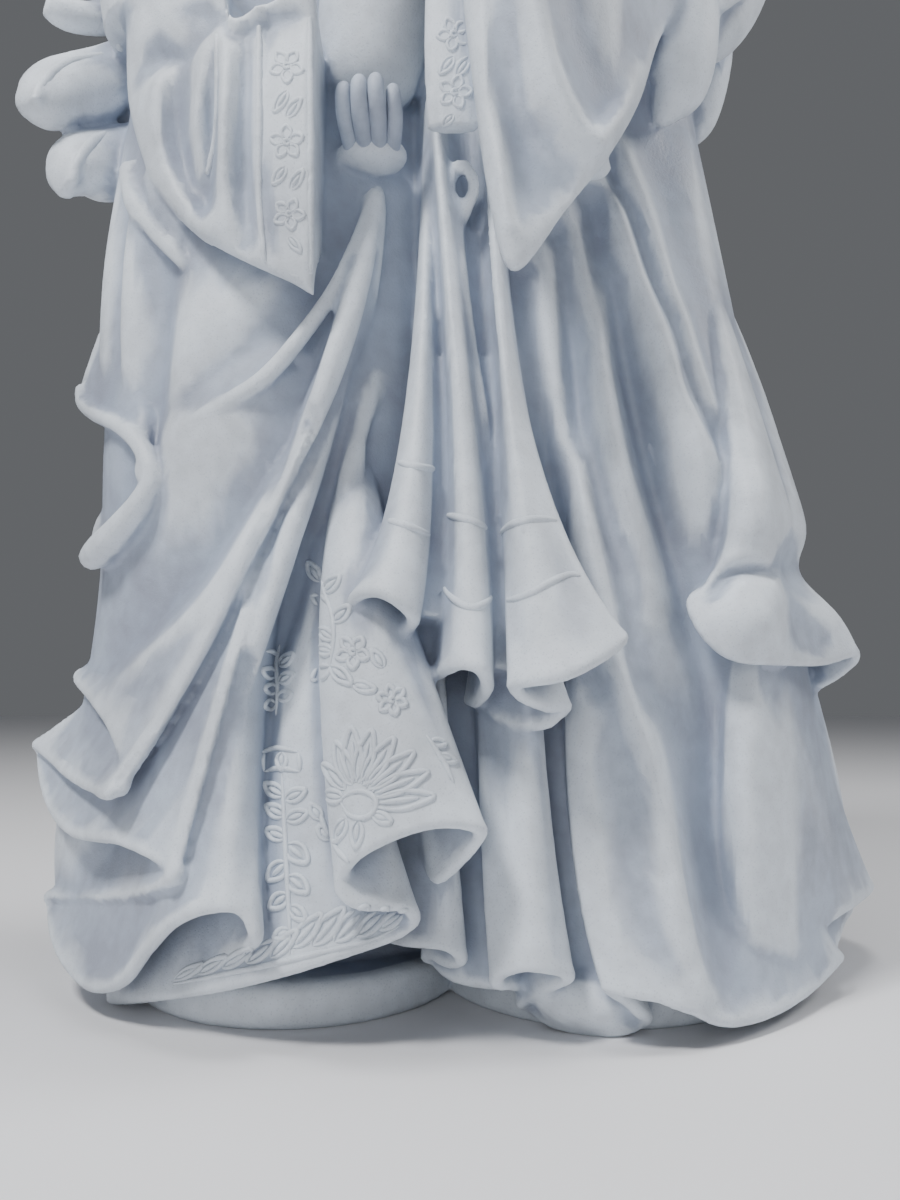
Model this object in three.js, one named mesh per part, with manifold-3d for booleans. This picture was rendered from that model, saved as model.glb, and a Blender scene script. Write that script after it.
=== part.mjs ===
// Holy family group: a veiled mother on the left, a bearded father on the right and their child held between
// them, cast as one solid that stands on a low plinth of two rounded lobes. The dress is folded cloth.
// Millimetres, +Z up, front towards -Y. The origin is on the underside, between the two lobes.

import * as THREE from "three";
import { mergeVertices } from "three/addons/utils/BufferGeometryUtils.js";
import Module from "manifold-3d";

const wasm = await Module();
wasm.setup();

const { clamp, lerp, smoothstep } = THREE.MathUtils;

// Driving sizes
const groupHeight = 600; // floor to the crown of the father's hair
const plinthThickness = 14;
const plinthLobe = { halfWidth: 56, halfDepth: 64, spacing: 102, back: -6, edgeRound: 4, sides: 40 };
const clothThickness = 3.6; // of a hem, thinner towards the waist
const hemRib = { height: 1.6, reach: 0.025 }; // the two sewn ribs round each pleat of the father's tunic
const backFold = { count: 13, depth: 4 }; // the plain folds at the back of both skirts
const fingerRadius = 2.7;
const facetBudget = 9900; // triangles of the whole casting
const castingColour = 0xdde0e0;

// The figures are drawn in the millimetres of a group 600 mm high that stands on a plinth 14 mm thick.
const drawnHeight = 600;
const drawnPlinth = 14;
const share = (groupHeight - plinthThickness) / (drawnHeight - drawnPlinth);
const inDrawing = (size) => size / share;
const placed = ({ x, y, z }) =>
  new THREE.Vector3(x * share, y * share, plinthThickness + (z - drawnPlinth) * share);

const curveThrough = (points) =>
  new THREE.CatmullRomCurve3(points.map((p) => new THREE.Vector3(...p)), false, "centripetal");

// The numbers at a place between the given rows of numbers, on a smooth curve through them.
function between(rows, t) {
  const place = t * (rows.length - 1);
  const k = Math.min(Math.floor(place), rows.length - 2);
  const f = place - k;
  const [p, q, r, s] = [k - 1, k, k + 1, k + 2].map((n) => rows[clamp(n, 0, rows.length - 1)]);
  return q.map(
    (value, i) =>
      value +
      0.5 * f * (r[i] - p[i] + f * (2 * p[i] - 5 * value + 4 * r[i] - s[i] + f * (3 * (value - r[i]) + s[i] - p[i]))),
  );
}
const steps = (count) => Array.from({ length: count + 1 }, (_, i) => i / count);
const turns = (count) => Array.from({ length: count }, (_, i) => (i / count) * 2 * Math.PI);

// A manifold solid from points and faces, turned right side out if it is inside out
function solidFrom(points, faces) {
  const merged = mergeVertices(new THREE.BufferGeometry().setFromPoints(points).setIndex(faces), 1e-4);
  const position = merged.getAttribute("position");
  const corner = (n) => new THREE.Vector3().fromBufferAttribute(position, n);
  const kept = [];
  let volume = 0;
  for (let i = 0; i < merged.index.count; i += 3) {
    const [a, b, c] = [0, 1, 2].map((k) => merged.index.getX(i + k));
    if (a === b || b === c || c === a) continue;
    kept.push(a, b, c);
    volume += corner(a).dot(corner(b).cross(corner(c)));
  }
  const triVerts = new Uint32Array(volume < 0 ? kept.reverse() : kept);
  return new wasm.Manifold(
    new wasm.Mesh({ numProp: 3, vertProperties: new Float32Array(position.array), triVerts }),
  );
}

// A solid through a stack of closed rings, with each end closed to its middle
function ringSolid(rings) {
  const around = rings[0].length;
  const middle = (ring) =>
    ring.reduce((sum, p) => sum.add(p), new THREE.Vector3()).divideScalar(ring.length);
  const points = [...rings.flat(), middle(rings[0]), middle(rings.at(-1))];
  const first = rings.length * around;
  const last = first - around;
  const faces = [];
  for (let i = 0; i < around; i++) {
    const next = (i + 1) % around;
    for (let low = 0; low < last; low += around)
      faces.push(low + i, low + next, low + around + i, low + next, low + around + next, low + around + i);
    faces.push(first, next, i, first + 1, last + i, last + next);
  }
  return solidFrom(points, faces);
}

// A closed slab between two grids of points
function slab(front, back) {
  const across = front[0].length;
  const size = across * front.length;
  const faces = [];
  const quad = (a, b, c, d) => faces.push(a, b, c, b, d, c);
  const turned = (a, b, c, d) => faces.push(a, c, b, b, c, d);
  for (let j = 0; j < front.length - 1; j++) {
    for (let i = 0; i < across - 1; i++) {
      const a = j * across + i;
      turned(a, a + 1, a + across, a + across + 1);
      quad(size + a, size + a + 1, size + a + across, size + a + across + 1);
    }
    const left = j * across;
    const right = left + across - 1;
    turned(left, left + across, size + left, size + left + across);
    quad(right, right + across, size + right, size + right + across);
  }
  for (let i = 0; i < across - 1; i++) {
    const low = size - across + i;
    quad(i, i + 1, size + i, size + i + 1);
    turned(low, low + 1, size + low, size + low + 1);
  }
  return solidFrom([...front.flat(), ...back.flat()], faces);
}

// A fold that stands out of the cloth, or a valley where it is negative. Its crest runs through points of
// [across, up, height] as seen from the front, and it is as wide as its width to each side.
const crease = (width, crest) => ({ width, crest: steps(16).map((t) => between(crest, t)) });
function raised(creases, x, z) {
  let total = 0;
  for (const { width, crest } of creases) {
    let nearest = Infinity;
    let height = 0;
    for (let k = 0; k < crest.length - 1; k++) {
      const [[x0, z0, h0], [x1, z1, h1]] = [crest[k], crest[k + 1]];
      const [dx, dz] = [x1 - x0, z1 - z0];
      const t = clamp(((x - x0) * dx + (z - z0) * dz) / (dx * dx + dz * dz), 0, 1);
      const away = Math.hypot(x - x0 - t * dx, z - z0 - t * dz);
      if (away < nearest) [nearest, height] = [away, lerp(h0, h1, t)];
    }
    total += height * Math.exp(-((nearest / width) ** 2));
  }
  return total;
}

// A body or a skirt: ellipses stacked up its height, given as rows of [up, across, back, half width, half
// depth, share of the plain folds at its back], closer together round its front, where its creases are
function column({ rows, levels = 44, around = 72, creases = [] }) {
  const rings = steps(levels).map((t) => {
    const [z, x, y, halfWidth, halfDepth, plainFolds] = between(rows, t);
    return turns(around).map((even) => {
      const turn = even - Math.PI - 0.45 * Math.sin(even - Math.PI);
      const [across, front] = [Math.sin(turn), Math.cos(turn)];
      const ripple = plainFolds * backFold.depth * smoothstep(-front, -0.3, 0.4) * Math.cos(backFold.count * turn);
      const place = x + halfWidth * across;
      const out = ripple + smoothstep(front, -0.2, 0.3) * raised(creases, place, z);
      return placed({ x: place + out * across, y: y - (halfDepth + out) * front, z });
    });
  });
  return ringSolid(rings);
}

// A limb, lobe or rolled edge: rounds along a path of points of [across, back, up, radius]
function roll(path, { flat = 1, around = 8, levels = 8, out = [0, -1, 0] } = {}) {
  const point = (t) => new THREE.Vector3(...between(path, t));
  const rings = steps(levels).map((t) => {
    const along = point(Math.min(t + 0.01, 1)).sub(point(Math.max(t - 0.01, 0)));
    const side = along.clone().cross(new THREE.Vector3(...out)).normalize();
    const up = side.clone().cross(along).normalize();
    const radius = between(path, t)[3];
    return turns(around).map((turn) =>
      placed(
        point(t)
          .addScaledVector(side, radius * Math.cos(turn))
          .addScaledVector(up, radius * flat * Math.sin(turn)),
      ),
    );
  });
  return ringSolid(rings);
}

// A rounded mass such as a palm, or a head of hair, whose locks are ripples that twist round it
function mass([x, y, z], [halfWidth, halfDepth, halfHeight], { around = 10, levels = 8, locks = 0, twist = 0 } = {}) {
  const lockDepth = 0.035;
  const rings = steps(levels).slice(1, -1).map((t) => {
    const lift = Math.cos(Math.PI * t);
    const girth = Math.sin(Math.PI * t);
    return turns(around).map((turn) => {
      const reach = 1 + lockDepth * Math.cos(locks * turn + twist * lift) * Math.sign(locks);
      return placed({
        x: x + halfWidth * girth * reach * Math.cos(turn),
        y: y + halfDepth * girth * reach * Math.sin(turn),
        z: z + halfHeight * reach * lift,
      });
    });
  });
  return ringSolid(rings);
}

// Cloth that falls from a gathered top line, through a middle line, to a folded hem. The middle line has a point
// at every few points of the hem, always the same number, and between them the folds of the hem fade towards the
// top. It is made in upright strips, because one fold lies on the next.
const stripColumns = 6;
function cloth({ hem, middle, top, columns, levels = 8, ribs = [], creases = [] }) {
  const line = {
    hem: curveThrough(hem),
    base: curveThrough(middle.map((_, k) => hem[(k * (hem.length - 1)) / (middle.length - 1)])),
    middle: curveThrough(middle),
    top: curveThrough(top),
  };
  const point = (u, v) => {
    const [high, half, low] = [line.top, line.middle, line.base].map((curve) => curve.getPoint(u));
    const fold = line.hem.getPoint(u).sub(low);
    return high
      .multiplyScalar((1 - v) * (1 - 2 * v))
      .addScaledVector(half, 4 * v * (1 - v))
      .addScaledVector(low, v * (2 * v - 1))
      .addScaledVector(fold, Math.pow(v, 1.2));
  };
  const heights = [...steps(levels), ...ribs.flatMap((rib) => [rib - hemRib.reach, rib, rib + hemRib.reach])];
  const near = 0.3 / columns;
  const front = [];
  const back = [];
  for (const v of heights.sort((a, b) => a - b)) {
    const half = (inDrawing(clothThickness) * (0.3 + 0.7 * v)) / 2;
    const rib = ribs.includes(v) ? inDrawing(hemRib.height) : 0;
    const row = steps(columns).map((u) => {
      const here = point(u, v);
      const acrossCloth = point(Math.min(u + near, 1), v).sub(point(Math.max(u - near, 0), v));
      const downCloth = point(u, Math.min(v + near, 1)).sub(point(u, Math.max(v - near, 0)));
      const inward = acrossCloth.cross(downCloth).normalize();
      return { here: here.addScaledVector(inward, -raised(creases, here.x, here.z)), inward };
    });
    front.push(row.map(({ here, inward }) => placed(here.clone().addScaledVector(inward, -half - rib))));
    back.push(row.map(({ here, inward }) => placed(here.clone().addScaledVector(inward, half))));
  }
  const strips = [];
  for (let i = 0; i < columns; i += stripColumns) {
    const cut = (grid) => grid.map((row) => row.slice(i, i + stripColumns + 1));
    strips.push(slab(cut(front), cut(back)));
  }
  return wasm.Manifold.union(strips);
}

// A hanging sleeve: upright drops side by side, given as rows of [across, front, back, top, bottom]
function sleeve({ rows, levels = 18, around = 26, creases = [], size = 1 }) {
  const rings = steps(levels).map((t) => {
    const [x, front, back, top, bottom] = between(rows, t);
    return turns(around).map((turn) => {
      const height = (1 + Math.cos(turn)) / 2;
      const taper = size * Math.pow(height, 0.4) * Math.sin(turn);
      const z = lerp(bottom, top, 0.5 + (height - 0.5) * size);
      const out = smoothstep(-Math.sin(turn), -0.1, 0.3) * raised(creases, x, z);
      return placed({ x, y: (front + back) / 2 + ((back - front) / 2) * taper - out, z });
    });
  });
  return ringSolid(rings);
}

// A head that faces the front before it is turned. Its height runs from chin to crown, the eyes are half way up,
// and each feature is a soft bump or hollow, as shares of the height: [across, up, width, tallness, out]
const faceFeatures = {
  brow: [0.13, 0.08, 0.1, 0.03, 0.018],
  eyeSocket: [0.14, 0.02, 0.06, 0.035, -0.04],
  eyelid: [0.14, 0, 0.042, 0.022, 0.024],
  noseBridge: [0, -0.03, 0.028, 0.08, 0.05],
  noseTip: [0, -0.13, 0.04, 0.035, 0.085],
  cheek: [0.17, -0.14, 0.08, 0.08, 0.016],
  lips: [0, -0.265, 0.07, 0.025, 0.035],
  chin: [0, -0.42, 0.08, 0.06, 0.035],
};
function head({ centre, height, turn = 0, nod = 0, lean = 0, around = 26, levels = 18 }) {
  const placeHead = new THREE.Matrix4()
    .makeRotationFromEuler(new THREE.Euler(nod, lean, turn, "ZYX"))
    .scale(new THREE.Vector3(height, height, height))
    .setPosition(...centre);
  const rings = steps(levels).slice(1, -1).map((t) => {
    const lift = Math.cos(Math.PI * t);
    const girth = Math.sin(Math.PI * t);
    const jaw = 1 - 0.3 * smoothstep(-lift, 0.1, 1);
    return turns(around).map((even) => {
      const angle = even - Math.PI - 0.35 * Math.sin(even - Math.PI);
      const [x, z] = [0.35 * jaw * girth * Math.sin(angle), 0.5 * lift];
      let y = 0.03 - 0.43 * girth * Math.cos(angle);
      const facing = smoothstep(Math.cos(angle), 0.1, 0.8);
      for (const [across, up, width, tallness, out] of Object.values(faceFeatures))
        for (const side of across ? [-1, 1] : [1]) {
          const away = ((x - side * across) / width) ** 2 + ((z - up) / tallness) ** 2;
          y -= facing * out * Math.exp(-away / 2);
        }
      return placed(new THREE.Vector3(x, y, z).applyMatrix4(placeHead));
    });
  });
  return ringSolid(rings);
}

// A hand: a wrist and palm, and fingers side by side that reach out and curl
function hand({ wrist, palm, reach, spread, lengths, curl }) {
  const fingers = lengths.map((length, k) => {
    const along = (part) =>
      palm.map((value, i) => value + spread[i] * (k - 1.5) + reach[i] * length * part + curl[i] * part * part);
    return roll(
      [
        [...along(0), fingerRadius * 1.1],
        [...along(0.55), fingerRadius],
        [...along(1), fingerRadius * 0.6],
      ],
      { around: 6, levels: 4 },
    );
  });
  return [...fingers, roll([[...wrist, 8], [...palm, 7]], { levels: 2 }), mass(palm, [9, 6, 8])];
}

// Mother: body and skirt
const motherBody = column({
  rows: [
    [10, -66, -2, 70, 50, 0.6],
    [50, -66, 1, 73, 55, 1],
    [97, -61, 1, 69, 57, 1],
    [140, -57, 0, 68, 59, 0.9],
    [185, -57, -2, 67, 61, 0.8],
    [235, -57, -3, 65, 58, 0.6],
    [285, -57, -3, 63, 51, 0.4],
    [330, -57, -2, 60, 45, 0],
    [375, -57, 0, 56, 40, 0],
    [412, -57, 3, 54, 36, 0],
    [436, -59, 5, 44, 30, 0],
    [450, -61, 5, 26, 22, 0],
    [480, -62, 0, 17, 18, 0],
  ],
  creases: [
    crease(8, [[-112, 290, 2], [-116, 250, 6], [-118, 215, 6], [-119, 165, 0]]),
    crease(7, [[-101, 285, 2], [-104, 245, 5], [-105, 205, 5], [-108, 170, 0]]),
    crease(26, [[-74, 235, 0], [-70, 200, 4], [-76, 165, 5], [-90, 125, 0]]),
    crease(8, [[-92, 250, 0], [-94, 215, -6], [-97, 180, -5], [-100, 150, 0]]),
  ],
});

// The thin fold that fans out from her waist to her left side
const fanFold = roll(
  [[-22, -60, 257, 3], [-37, -65, 219, 5], [-58, -67, 195, 5], [-76, -63, 180, 4], [-90, -54, 172, 2]],
  { levels: 10 },
);

// The mantle drawn across her knees. Its hem starts at her left side and turns back on itself at every fold:
// three trumpets that open to the left, the band along the ground, and the panel in the middle.
const mantle = cloth({
  hem: [
    [-128, -22, 103], [-108, -52, 90], [-94, -78, 69], [-112, -52, 69],
    [-141, -14, 78], [-135, -24, 61], [-116, -42, 52], [-89, -72, 56],
    [-74, -88, 46], [-92, -64, 38], [-131, -28, 30], [-121, -46, 14],
    [-103, -66, 10], [-84, -80, 27], [-67, -90, 39], [-51, -92, 33],
    [-75, -70, 21], [-102, -50, 5], [-88, -64, 7], [-60, -80, 17],
    [-33, -90, 28], [-12, -84, 37], [-25, -74, 37], [-31, -86, 50],
    [-17, -98, 62], [1, -99, 67], [10, -88, 60], [1, -70, 44],
    [-8, -50, 46],
  ],
  middle: [
    [-61, -70, 158], [-54, -82, 146], [-56, -68, 150], [-53, -62, 151],
    [-48, -76, 142], [-49, -64, 143], [-49, -60, 137], [-45, -74, 134],
    [-44, -64, 133], [-45, -58, 132], [-40, -58, 126], [-40, -57, 126],
    [-32, -66, 138], [-14, -60, 138], [-16, -46, 147],
  ],
  top: [[-24, -66, 236], [-23, -70, 234], [-22, -68, 231], [-20, -60, 226], [-17, -48, 215]],
  columns: 84,
  levels: 12,
});

// The free edge of the mantle at her left side stands out as a wave
const rolledEdge = roll(
  [
    [-114, -4, 236, 4],
    [-128, -10, 221, 6],
    [-130, -14, 205, 7],
    [-118, -22, 190, 8],
    [-105, -28, 177, 8],
    [-105, -30, 163, 8],
    [-119, -26, 152, 7],
    [-122, -22, 141, 4],
  ],
  { levels: 18, flat: 0.9 },
);

// The blown end of her veil behind the elbow, in three lobes
const veilLobes = [
  roll([[-92, 6, 374, 14], [-119, -6, 362, 16], [-134, -10, 352, 15], [-145, -12, 348, 4]], { flat: 0.8 }),
  roll([[-92, 2, 346, 16], [-118, -12, 335, 17], [-133, -15, 323, 16], [-143, -17, 311, 4]], { flat: 0.8 }),
  roll([[-96, -6, 316, 14], [-112, -18, 302, 14], [-121, -21, 290, 12], [-129, -22, 280, 4]], { flat: 0.8 }),
];

const motherSleeve = sleeve({
  rows: [
    [-122, -22, -8, 344, 322],
    [-114, -38, 0, 350, 300],
    [-103, -50, 2, 350, 274],
    [-88, -62, -6, 338, 252],
    [-73, -73, -22, 318, 236],
    [-58, -80, -36, 305, 228],
    [-41, -84, -44, 301, 214],
  ],
  creases: [
    crease(6, [[-103, 320, 1], [-99, 299, 5], [-94, 280, 5], [-88, 264, 3], [-80, 251, 0]]),
    crease(5, [[-77, 306, 1], [-78, 296, 5], [-80, 288, 4], [-84, 276, 0]]),
    crease(7, [[-64, 302, 1], [-64, 281, 6], [-66, 268, 6], [-71, 256, 4], [-81, 247, 0]]),
    crease(5, [[-71, 300, -1], [-72, 285, -5], [-74, 268, -4], [-82, 256, 0]]),
  ],
}).subtract(
  sleeve({ rows: [[-66, -74, -40, 300, 240], [-52, -78, -46, 297, 232], [-30, -80, -48, 296, 225]], size: 0.8 }),
);
const motherUpperArm = roll([[-84, 2, 442, 12], [-98, -6, 408, 23], [-104, -16, 365, 24], [-105, -24, 330, 18]], { around: 14 });

// Father: body and robe
const robeCreases = [
  crease(9, [[27, 270, 0], [28, 230, 6], [30, 190, 8], [38, 139, 9], [49, 79, 10], [56, 30, 5], [57, 8, 0]]),
  crease(7, [[38, 270, 0], [43, 225, 5], [47, 170, 6], [50, 140, 4], [55, 118, 0]]),
  crease(8, [[47, 275, 0], [54, 239, 6], [65, 198, 9], [72, 161, 7], [80, 135, 0]]),
  crease(11, [[60, 300, 2], [69, 258, 9], [82, 210, 12], [91, 175, 8], [97, 140, 0]]),
  crease(12, [[79, 305, 2], [84, 267, 9], [96, 222, 11], [112, 187, 9], [122, 150, 0]]),
  crease(8, [[22, 130, 0], [22, 100, 5], [22, 62, 7], [23, 30, 3], [24, 12, 0]]),
  crease(15, [[100, 120, 0], [108, 90, 9], [114, 58, 13], [121, 34, 5], [124, 16, 0]]),
  crease(9, [[72, 125, 0], [76, 95, -9], [81, 65, -11], [87, 38, -8], [92, 14, 0]]),
];
const fatherBody = column({
  rows: [
    [10, 56, -2, 80, 57, 0.6],
    [50, 55, 0, 82, 61, 1],
    [97, 51, 0, 76, 60, 1],
    [140, 48, 0, 76, 59, 0.9],
    [170, 48, 0, 75, 57, 0.8],
    [204, 46, 0, 68, 55, 0.7],
    [245, 42, 0, 57, 50, 0.5],
    [290, 40, 0, 47, 44, 0.3],
    [335, 42, 0, 54, 42, 0],
    [380, 44, 1, 57, 41, 0],
    [425, 46, 2, 60, 39, 0],
    [460, 47, 3, 58, 34, 0],
    [480, 48, 4, 44, 27, 0],
    [492, 50, 3, 24, 20, 0],
    [535, 53, -2, 18, 19, 0],
  ],
  creases: robeCreases,
});
const robe = cloth({
  hem: [
    [-19, -60, 25], [2, -68, 23], [9, -58, 23], [-2, -50, 17],
    [4, -62, 14], [14, -76, 19], [26, -86, 22], [36, -78, 23],
    [30, -70, 13], [24, -68, 5], [36, -76, 2], [54, -73, 3],
    [52, -66, 7], [42, -76, 16], [53, -87, 16], [69, -82, 10],
    [94, -62, 4], [117, -42, 8], [126, -32, 16], [113, -40, 14],
    [111, -46, 23], [136, -24, 26], [148, -8, 30], [152, 12, 28],
    [146, 34, 24],
  ],
  middle: [
    [-12, -56, 131], [6, -61, 132], [23, -66, 133], [43, -68, 134],
    [76, -61, 135], [97, -42, 138], [119, 14, 138],
  ],
  top: [
    [-4, -42, 280], [6, -46, 284], [18, -47, 288], [36, -48, 292],
    [58, -42, 296], [76, -28, 298], [86, 4, 300],
  ],
  columns: 84,
  levels: 22,
  creases: robeCreases,
});

// The three pleats of his tunic's front, with two sewn ribs above the hem
const tunicPleats = cloth({
  hem: [
    [-20, -66, 114], [-28, -78, 121], [-20, -94, 127], [-10, -97, 120],
    [-9, -84, 114], [-11, -82, 108], [-5, -92, 106], [3, -102, 107],
    [12, -94, 102], [8, -80, 96], [24, -84, 90], [31, -88, 96],
    [19, -98, 97], [18, -107, 102], [37, -109, 108], [48, -98, 114],
    [40, -80, 111],
  ],
  middle: [[-13, -64, 192], [-6, -72, 191], [6, -76, 185], [12, -80, 182], [25, -74, 181]],
  top: [[-12, -56, 282], [-10, -60, 280], [-3, -60, 280], [6, -62, 276], [16, -64, 268]],
  columns: 54,
  levels: 5,
  ribs: [0.72, 0.86],
});

// The blown edge of his cloak at the right side
const cloakFlare = cloth({
  hem: [
    [74, -56, 133], [74, -66, 120], [83, -69, 110], [106, -54, 108],
    [139, -22, 110], [134, -6, 100], [122, 14, 98],
  ],
  middle: [[86, -43, 184], [106, -34, 178], [118, 6, 172]],
  top: [[88, -36, 262], [92, -24, 268], [92, 4, 272]],
  columns: 24,
  levels: 6,
});

const fatherSleeve = sleeve({
  rows: [
    [112, -20, 0, 380, 352],
    [102, -40, 6, 392, 338],
    [88, -46, 2, 394, 326],
    [72, -54, -10, 394, 318],
    [60, -68, -22, 394, 284],
    [48, -86, -34, 392, 258],
    [34, -95, -46, 388, 237],
    [18, -100, -56, 384, 216],
    [11, -96, -58, 382, 240],
    [4, -92, -60, 382, 300],
  ],
  creases: [
    crease(6, [[16, 330, 3], [18, 300, 5], [21, 280, 6], [30, 263, 6], [41, 251, 4]]),
    crease(6, [[66, 300, 0], [58, 281, 4], [48, 267, 5], [40, 254, 2]]),
    crease(10, [[46, 330, 0], [42, 300, -5], [42, 280, -4], [42, 266, 0]]),
    crease(4, [[8, 320, 1], [10, 280, 2], [14, 240, 2], [18, 222, 0]]),
  ],
}).subtract(
  sleeve({ rows: [[24, -90, -64, 376, 250], [10, -88, -64, 376, 262], [-6, -86, -66, 376, 300]], size: 0.8 }),
);
const cuffPanel = roll([[1, -70, 340, 8], [1, -73, 300, 9], [1, -74, 269, 8]], { flat: 0.4 });
const fatherUpperArm = roll([[84, 2, 474, 13], [98, -2, 438, 24], [103, -10, 400, 25], [103, -14, 360, 17]], { around: 14 });

// The back of his cloak at the elbow hangs in two soft masses.
const cloakMasses = [
  roll([[80, -30, 380, 14], [80, -36, 330, 13], [78, -38, 306, 11], [74, -38, 296, 6]], { around: 12 }),
  roll([[96, 4, 400, 12], [97, 2, 360, 11], [97, 0, 336, 10], [92, 0, 312, 8]], { around: 12 }),
];

// The father's arm behind the mother's shoulders
const fatherReach = roll(
  [[0, 16, 458, 24], [-36, 34, 442, 19], [-78, 32, 424, 16], [-106, 12, 408, 10]],
  { around: 12, out: [0, 1, 0] },
);

// Child: swaddled from the seat to the shoulders, one arm reaching for the mother
const child = [
  roll(
    [[-26, -38, 304, 8], [-26, -42, 318, 18], [-21, -46, 348, 21], [-15, -45, 382, 20], [-13, -42, 412, 10]],
    { around: 16, levels: 12 },
  ),
  roll([[-22, -54, 392, 7], [-36, -54, 384, 6], [-46, -44, 396, 4]]),
  head({ centre: [-14, -46, 428], height: 46, turn: -0.15, nod: 0.1 }),
  mass([-14, -41, 432], [17.5, 20, 22], { around: 28, levels: 14, locks: 9, twist: 5 }),
];

// Hands: the mother's under the child, the father's across the child, and his other hand on her shoulder
const hands = [
  ...hand({
    wrist: [-52, -54, 286],
    palm: [-27, -54, 275],
    reach: [0, -0.3, 1],
    spread: [-4.7, 0, 0],
    lengths: [15, 18, 17, 13],
    curl: [0, 2, 0],
  }),
  ...hand({
    wrist: [12, -74, 368],
    palm: [-8, -70, 366],
    reach: [-1, 0, 0.1],
    spread: [0, 0, 5],
    lengths: [19, 22, 23, 20],
    curl: [-2, 9, 0],
  }),
  ...hand({
    wrist: [-104, 12, 410],
    palm: [-110, -12, 408],
    reach: [0.1, -1, -0.1],
    spread: [0, 0, 5],
    lengths: [15, 18, 19, 17],
    curl: [5, 0, -2],
  }),
];

// The mother's veil stands round her face like a hood and falls over her shoulders.
const hood = column({
  rows: [
    [280, -59, 8, 62, 44, 0.6],
    [330, -60, 10, 63, 44, 0.6],
    [380, -61, 11, 62, 41, 0.5],
    [415, -62, 11, 58, 37, 0.4],
    [436, -63, 11, 48, 33, 0.2],
    [452, -63, 10, 35, 30, 0],
    [475, -62, 7, 30, 32, 0],
    [500, -61, 4, 31, 34, 0],
    [520, -60, 4, 27, 29, 0],
    [532, -60, 5, 16, 18, 0],
    [536, -60, 5, 6, 7, 0],
  ],
  around: 44,
  levels: 20,
}).subtract(mass([-60, -35, 492], [24, 24, 35], { around: 20, levels: 12 }));
const motherHead = head({ centre: [-60, -7, 491], height: 68, turn: 0.35, nod: 0.2, lean: 0.08 });

// The father's head with its hair and short beard
const fatherHead = [
  head({ centre: [54, -8, 560], height: 76, turn: -0.4, nod: 0.2 }),
  mass([56, 0, 564.5], [29, 32, 34.3], { around: 34, levels: 16, locks: 11, twist: 6 }),
  mass([56, 12, 532], [23, 19, 26], { around: 30, levels: 12, locks: 9, twist: 5 }),
  mass([47, -25, 524], [15, 13, 17], { around: 24, levels: 10, locks: 7, twist: 4 }),
];

const lowPlinth = [-1, 1].map((side) => {
  const { halfWidth, halfDepth, spacing, back, edgeRound, sides } = plinthLobe;
  const profile = [
    [edgeRound / 2, 0],
    [0, edgeRound / 2],
    [0, plinthThickness - edgeRound],
    [edgeRound, plinthThickness],
  ];
  return ringSolid(
    profile.map(([inset, z]) =>
      turns(sides).map(
        (turn) =>
          new THREE.Vector3(
            (side * spacing) / 2 + (halfWidth - inset) * Math.cos(turn),
            back + (halfDepth - inset) * Math.sin(turn),
            z,
          ),
      ),
    ),
  );
});

const casting = wasm.Manifold.union([
  motherBody,
  fanFold,
  mantle,
  rolledEdge,
  ...veilLobes,
  motherSleeve,
  motherUpperArm,
  hood,
  motherHead,
  fatherBody,
  robe,
  tunicPleats,
  cloakFlare,
  ...cloakMasses,
  fatherSleeve,
  cuffPanel,
  fatherUpperArm,
  fatherReach,
  ...fatherHead,
  ...child,
  ...hands,
  ...lowPlinth,
]);

// The outer shell alone: spaces that the cloth closes off inside are solid in a casting.
function outerShell(solid) {
  const { vertProperties, triVerts } = solid.getMesh();
  const parent = Array.from({ length: vertProperties.length / 3 }, (_, i) => i);
  const root = (i) => {
    while (parent[i] !== i) i = parent[i] = parent[parent[i]];
    return i;
  };
  const faces = [];
  for (let t = 0; t < triVerts.length; t += 3) faces.push(Array.from(triVerts.slice(t, t + 3)));
  for (const [a, b, c] of faces) {
    parent[root(a)] = root(b);
    parent[root(b)] = root(c);
  }
  const shells = Map.groupBy(faces, ([a]) => root(a));
  const largest = [...shells.values()].sort((a, b) => b.length - a.length)[0];
  const points = parent.map((_, i) => new THREE.Vector3().fromArray(vertProperties, 3 * i));
  return { points, faces: largest };
}

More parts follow.
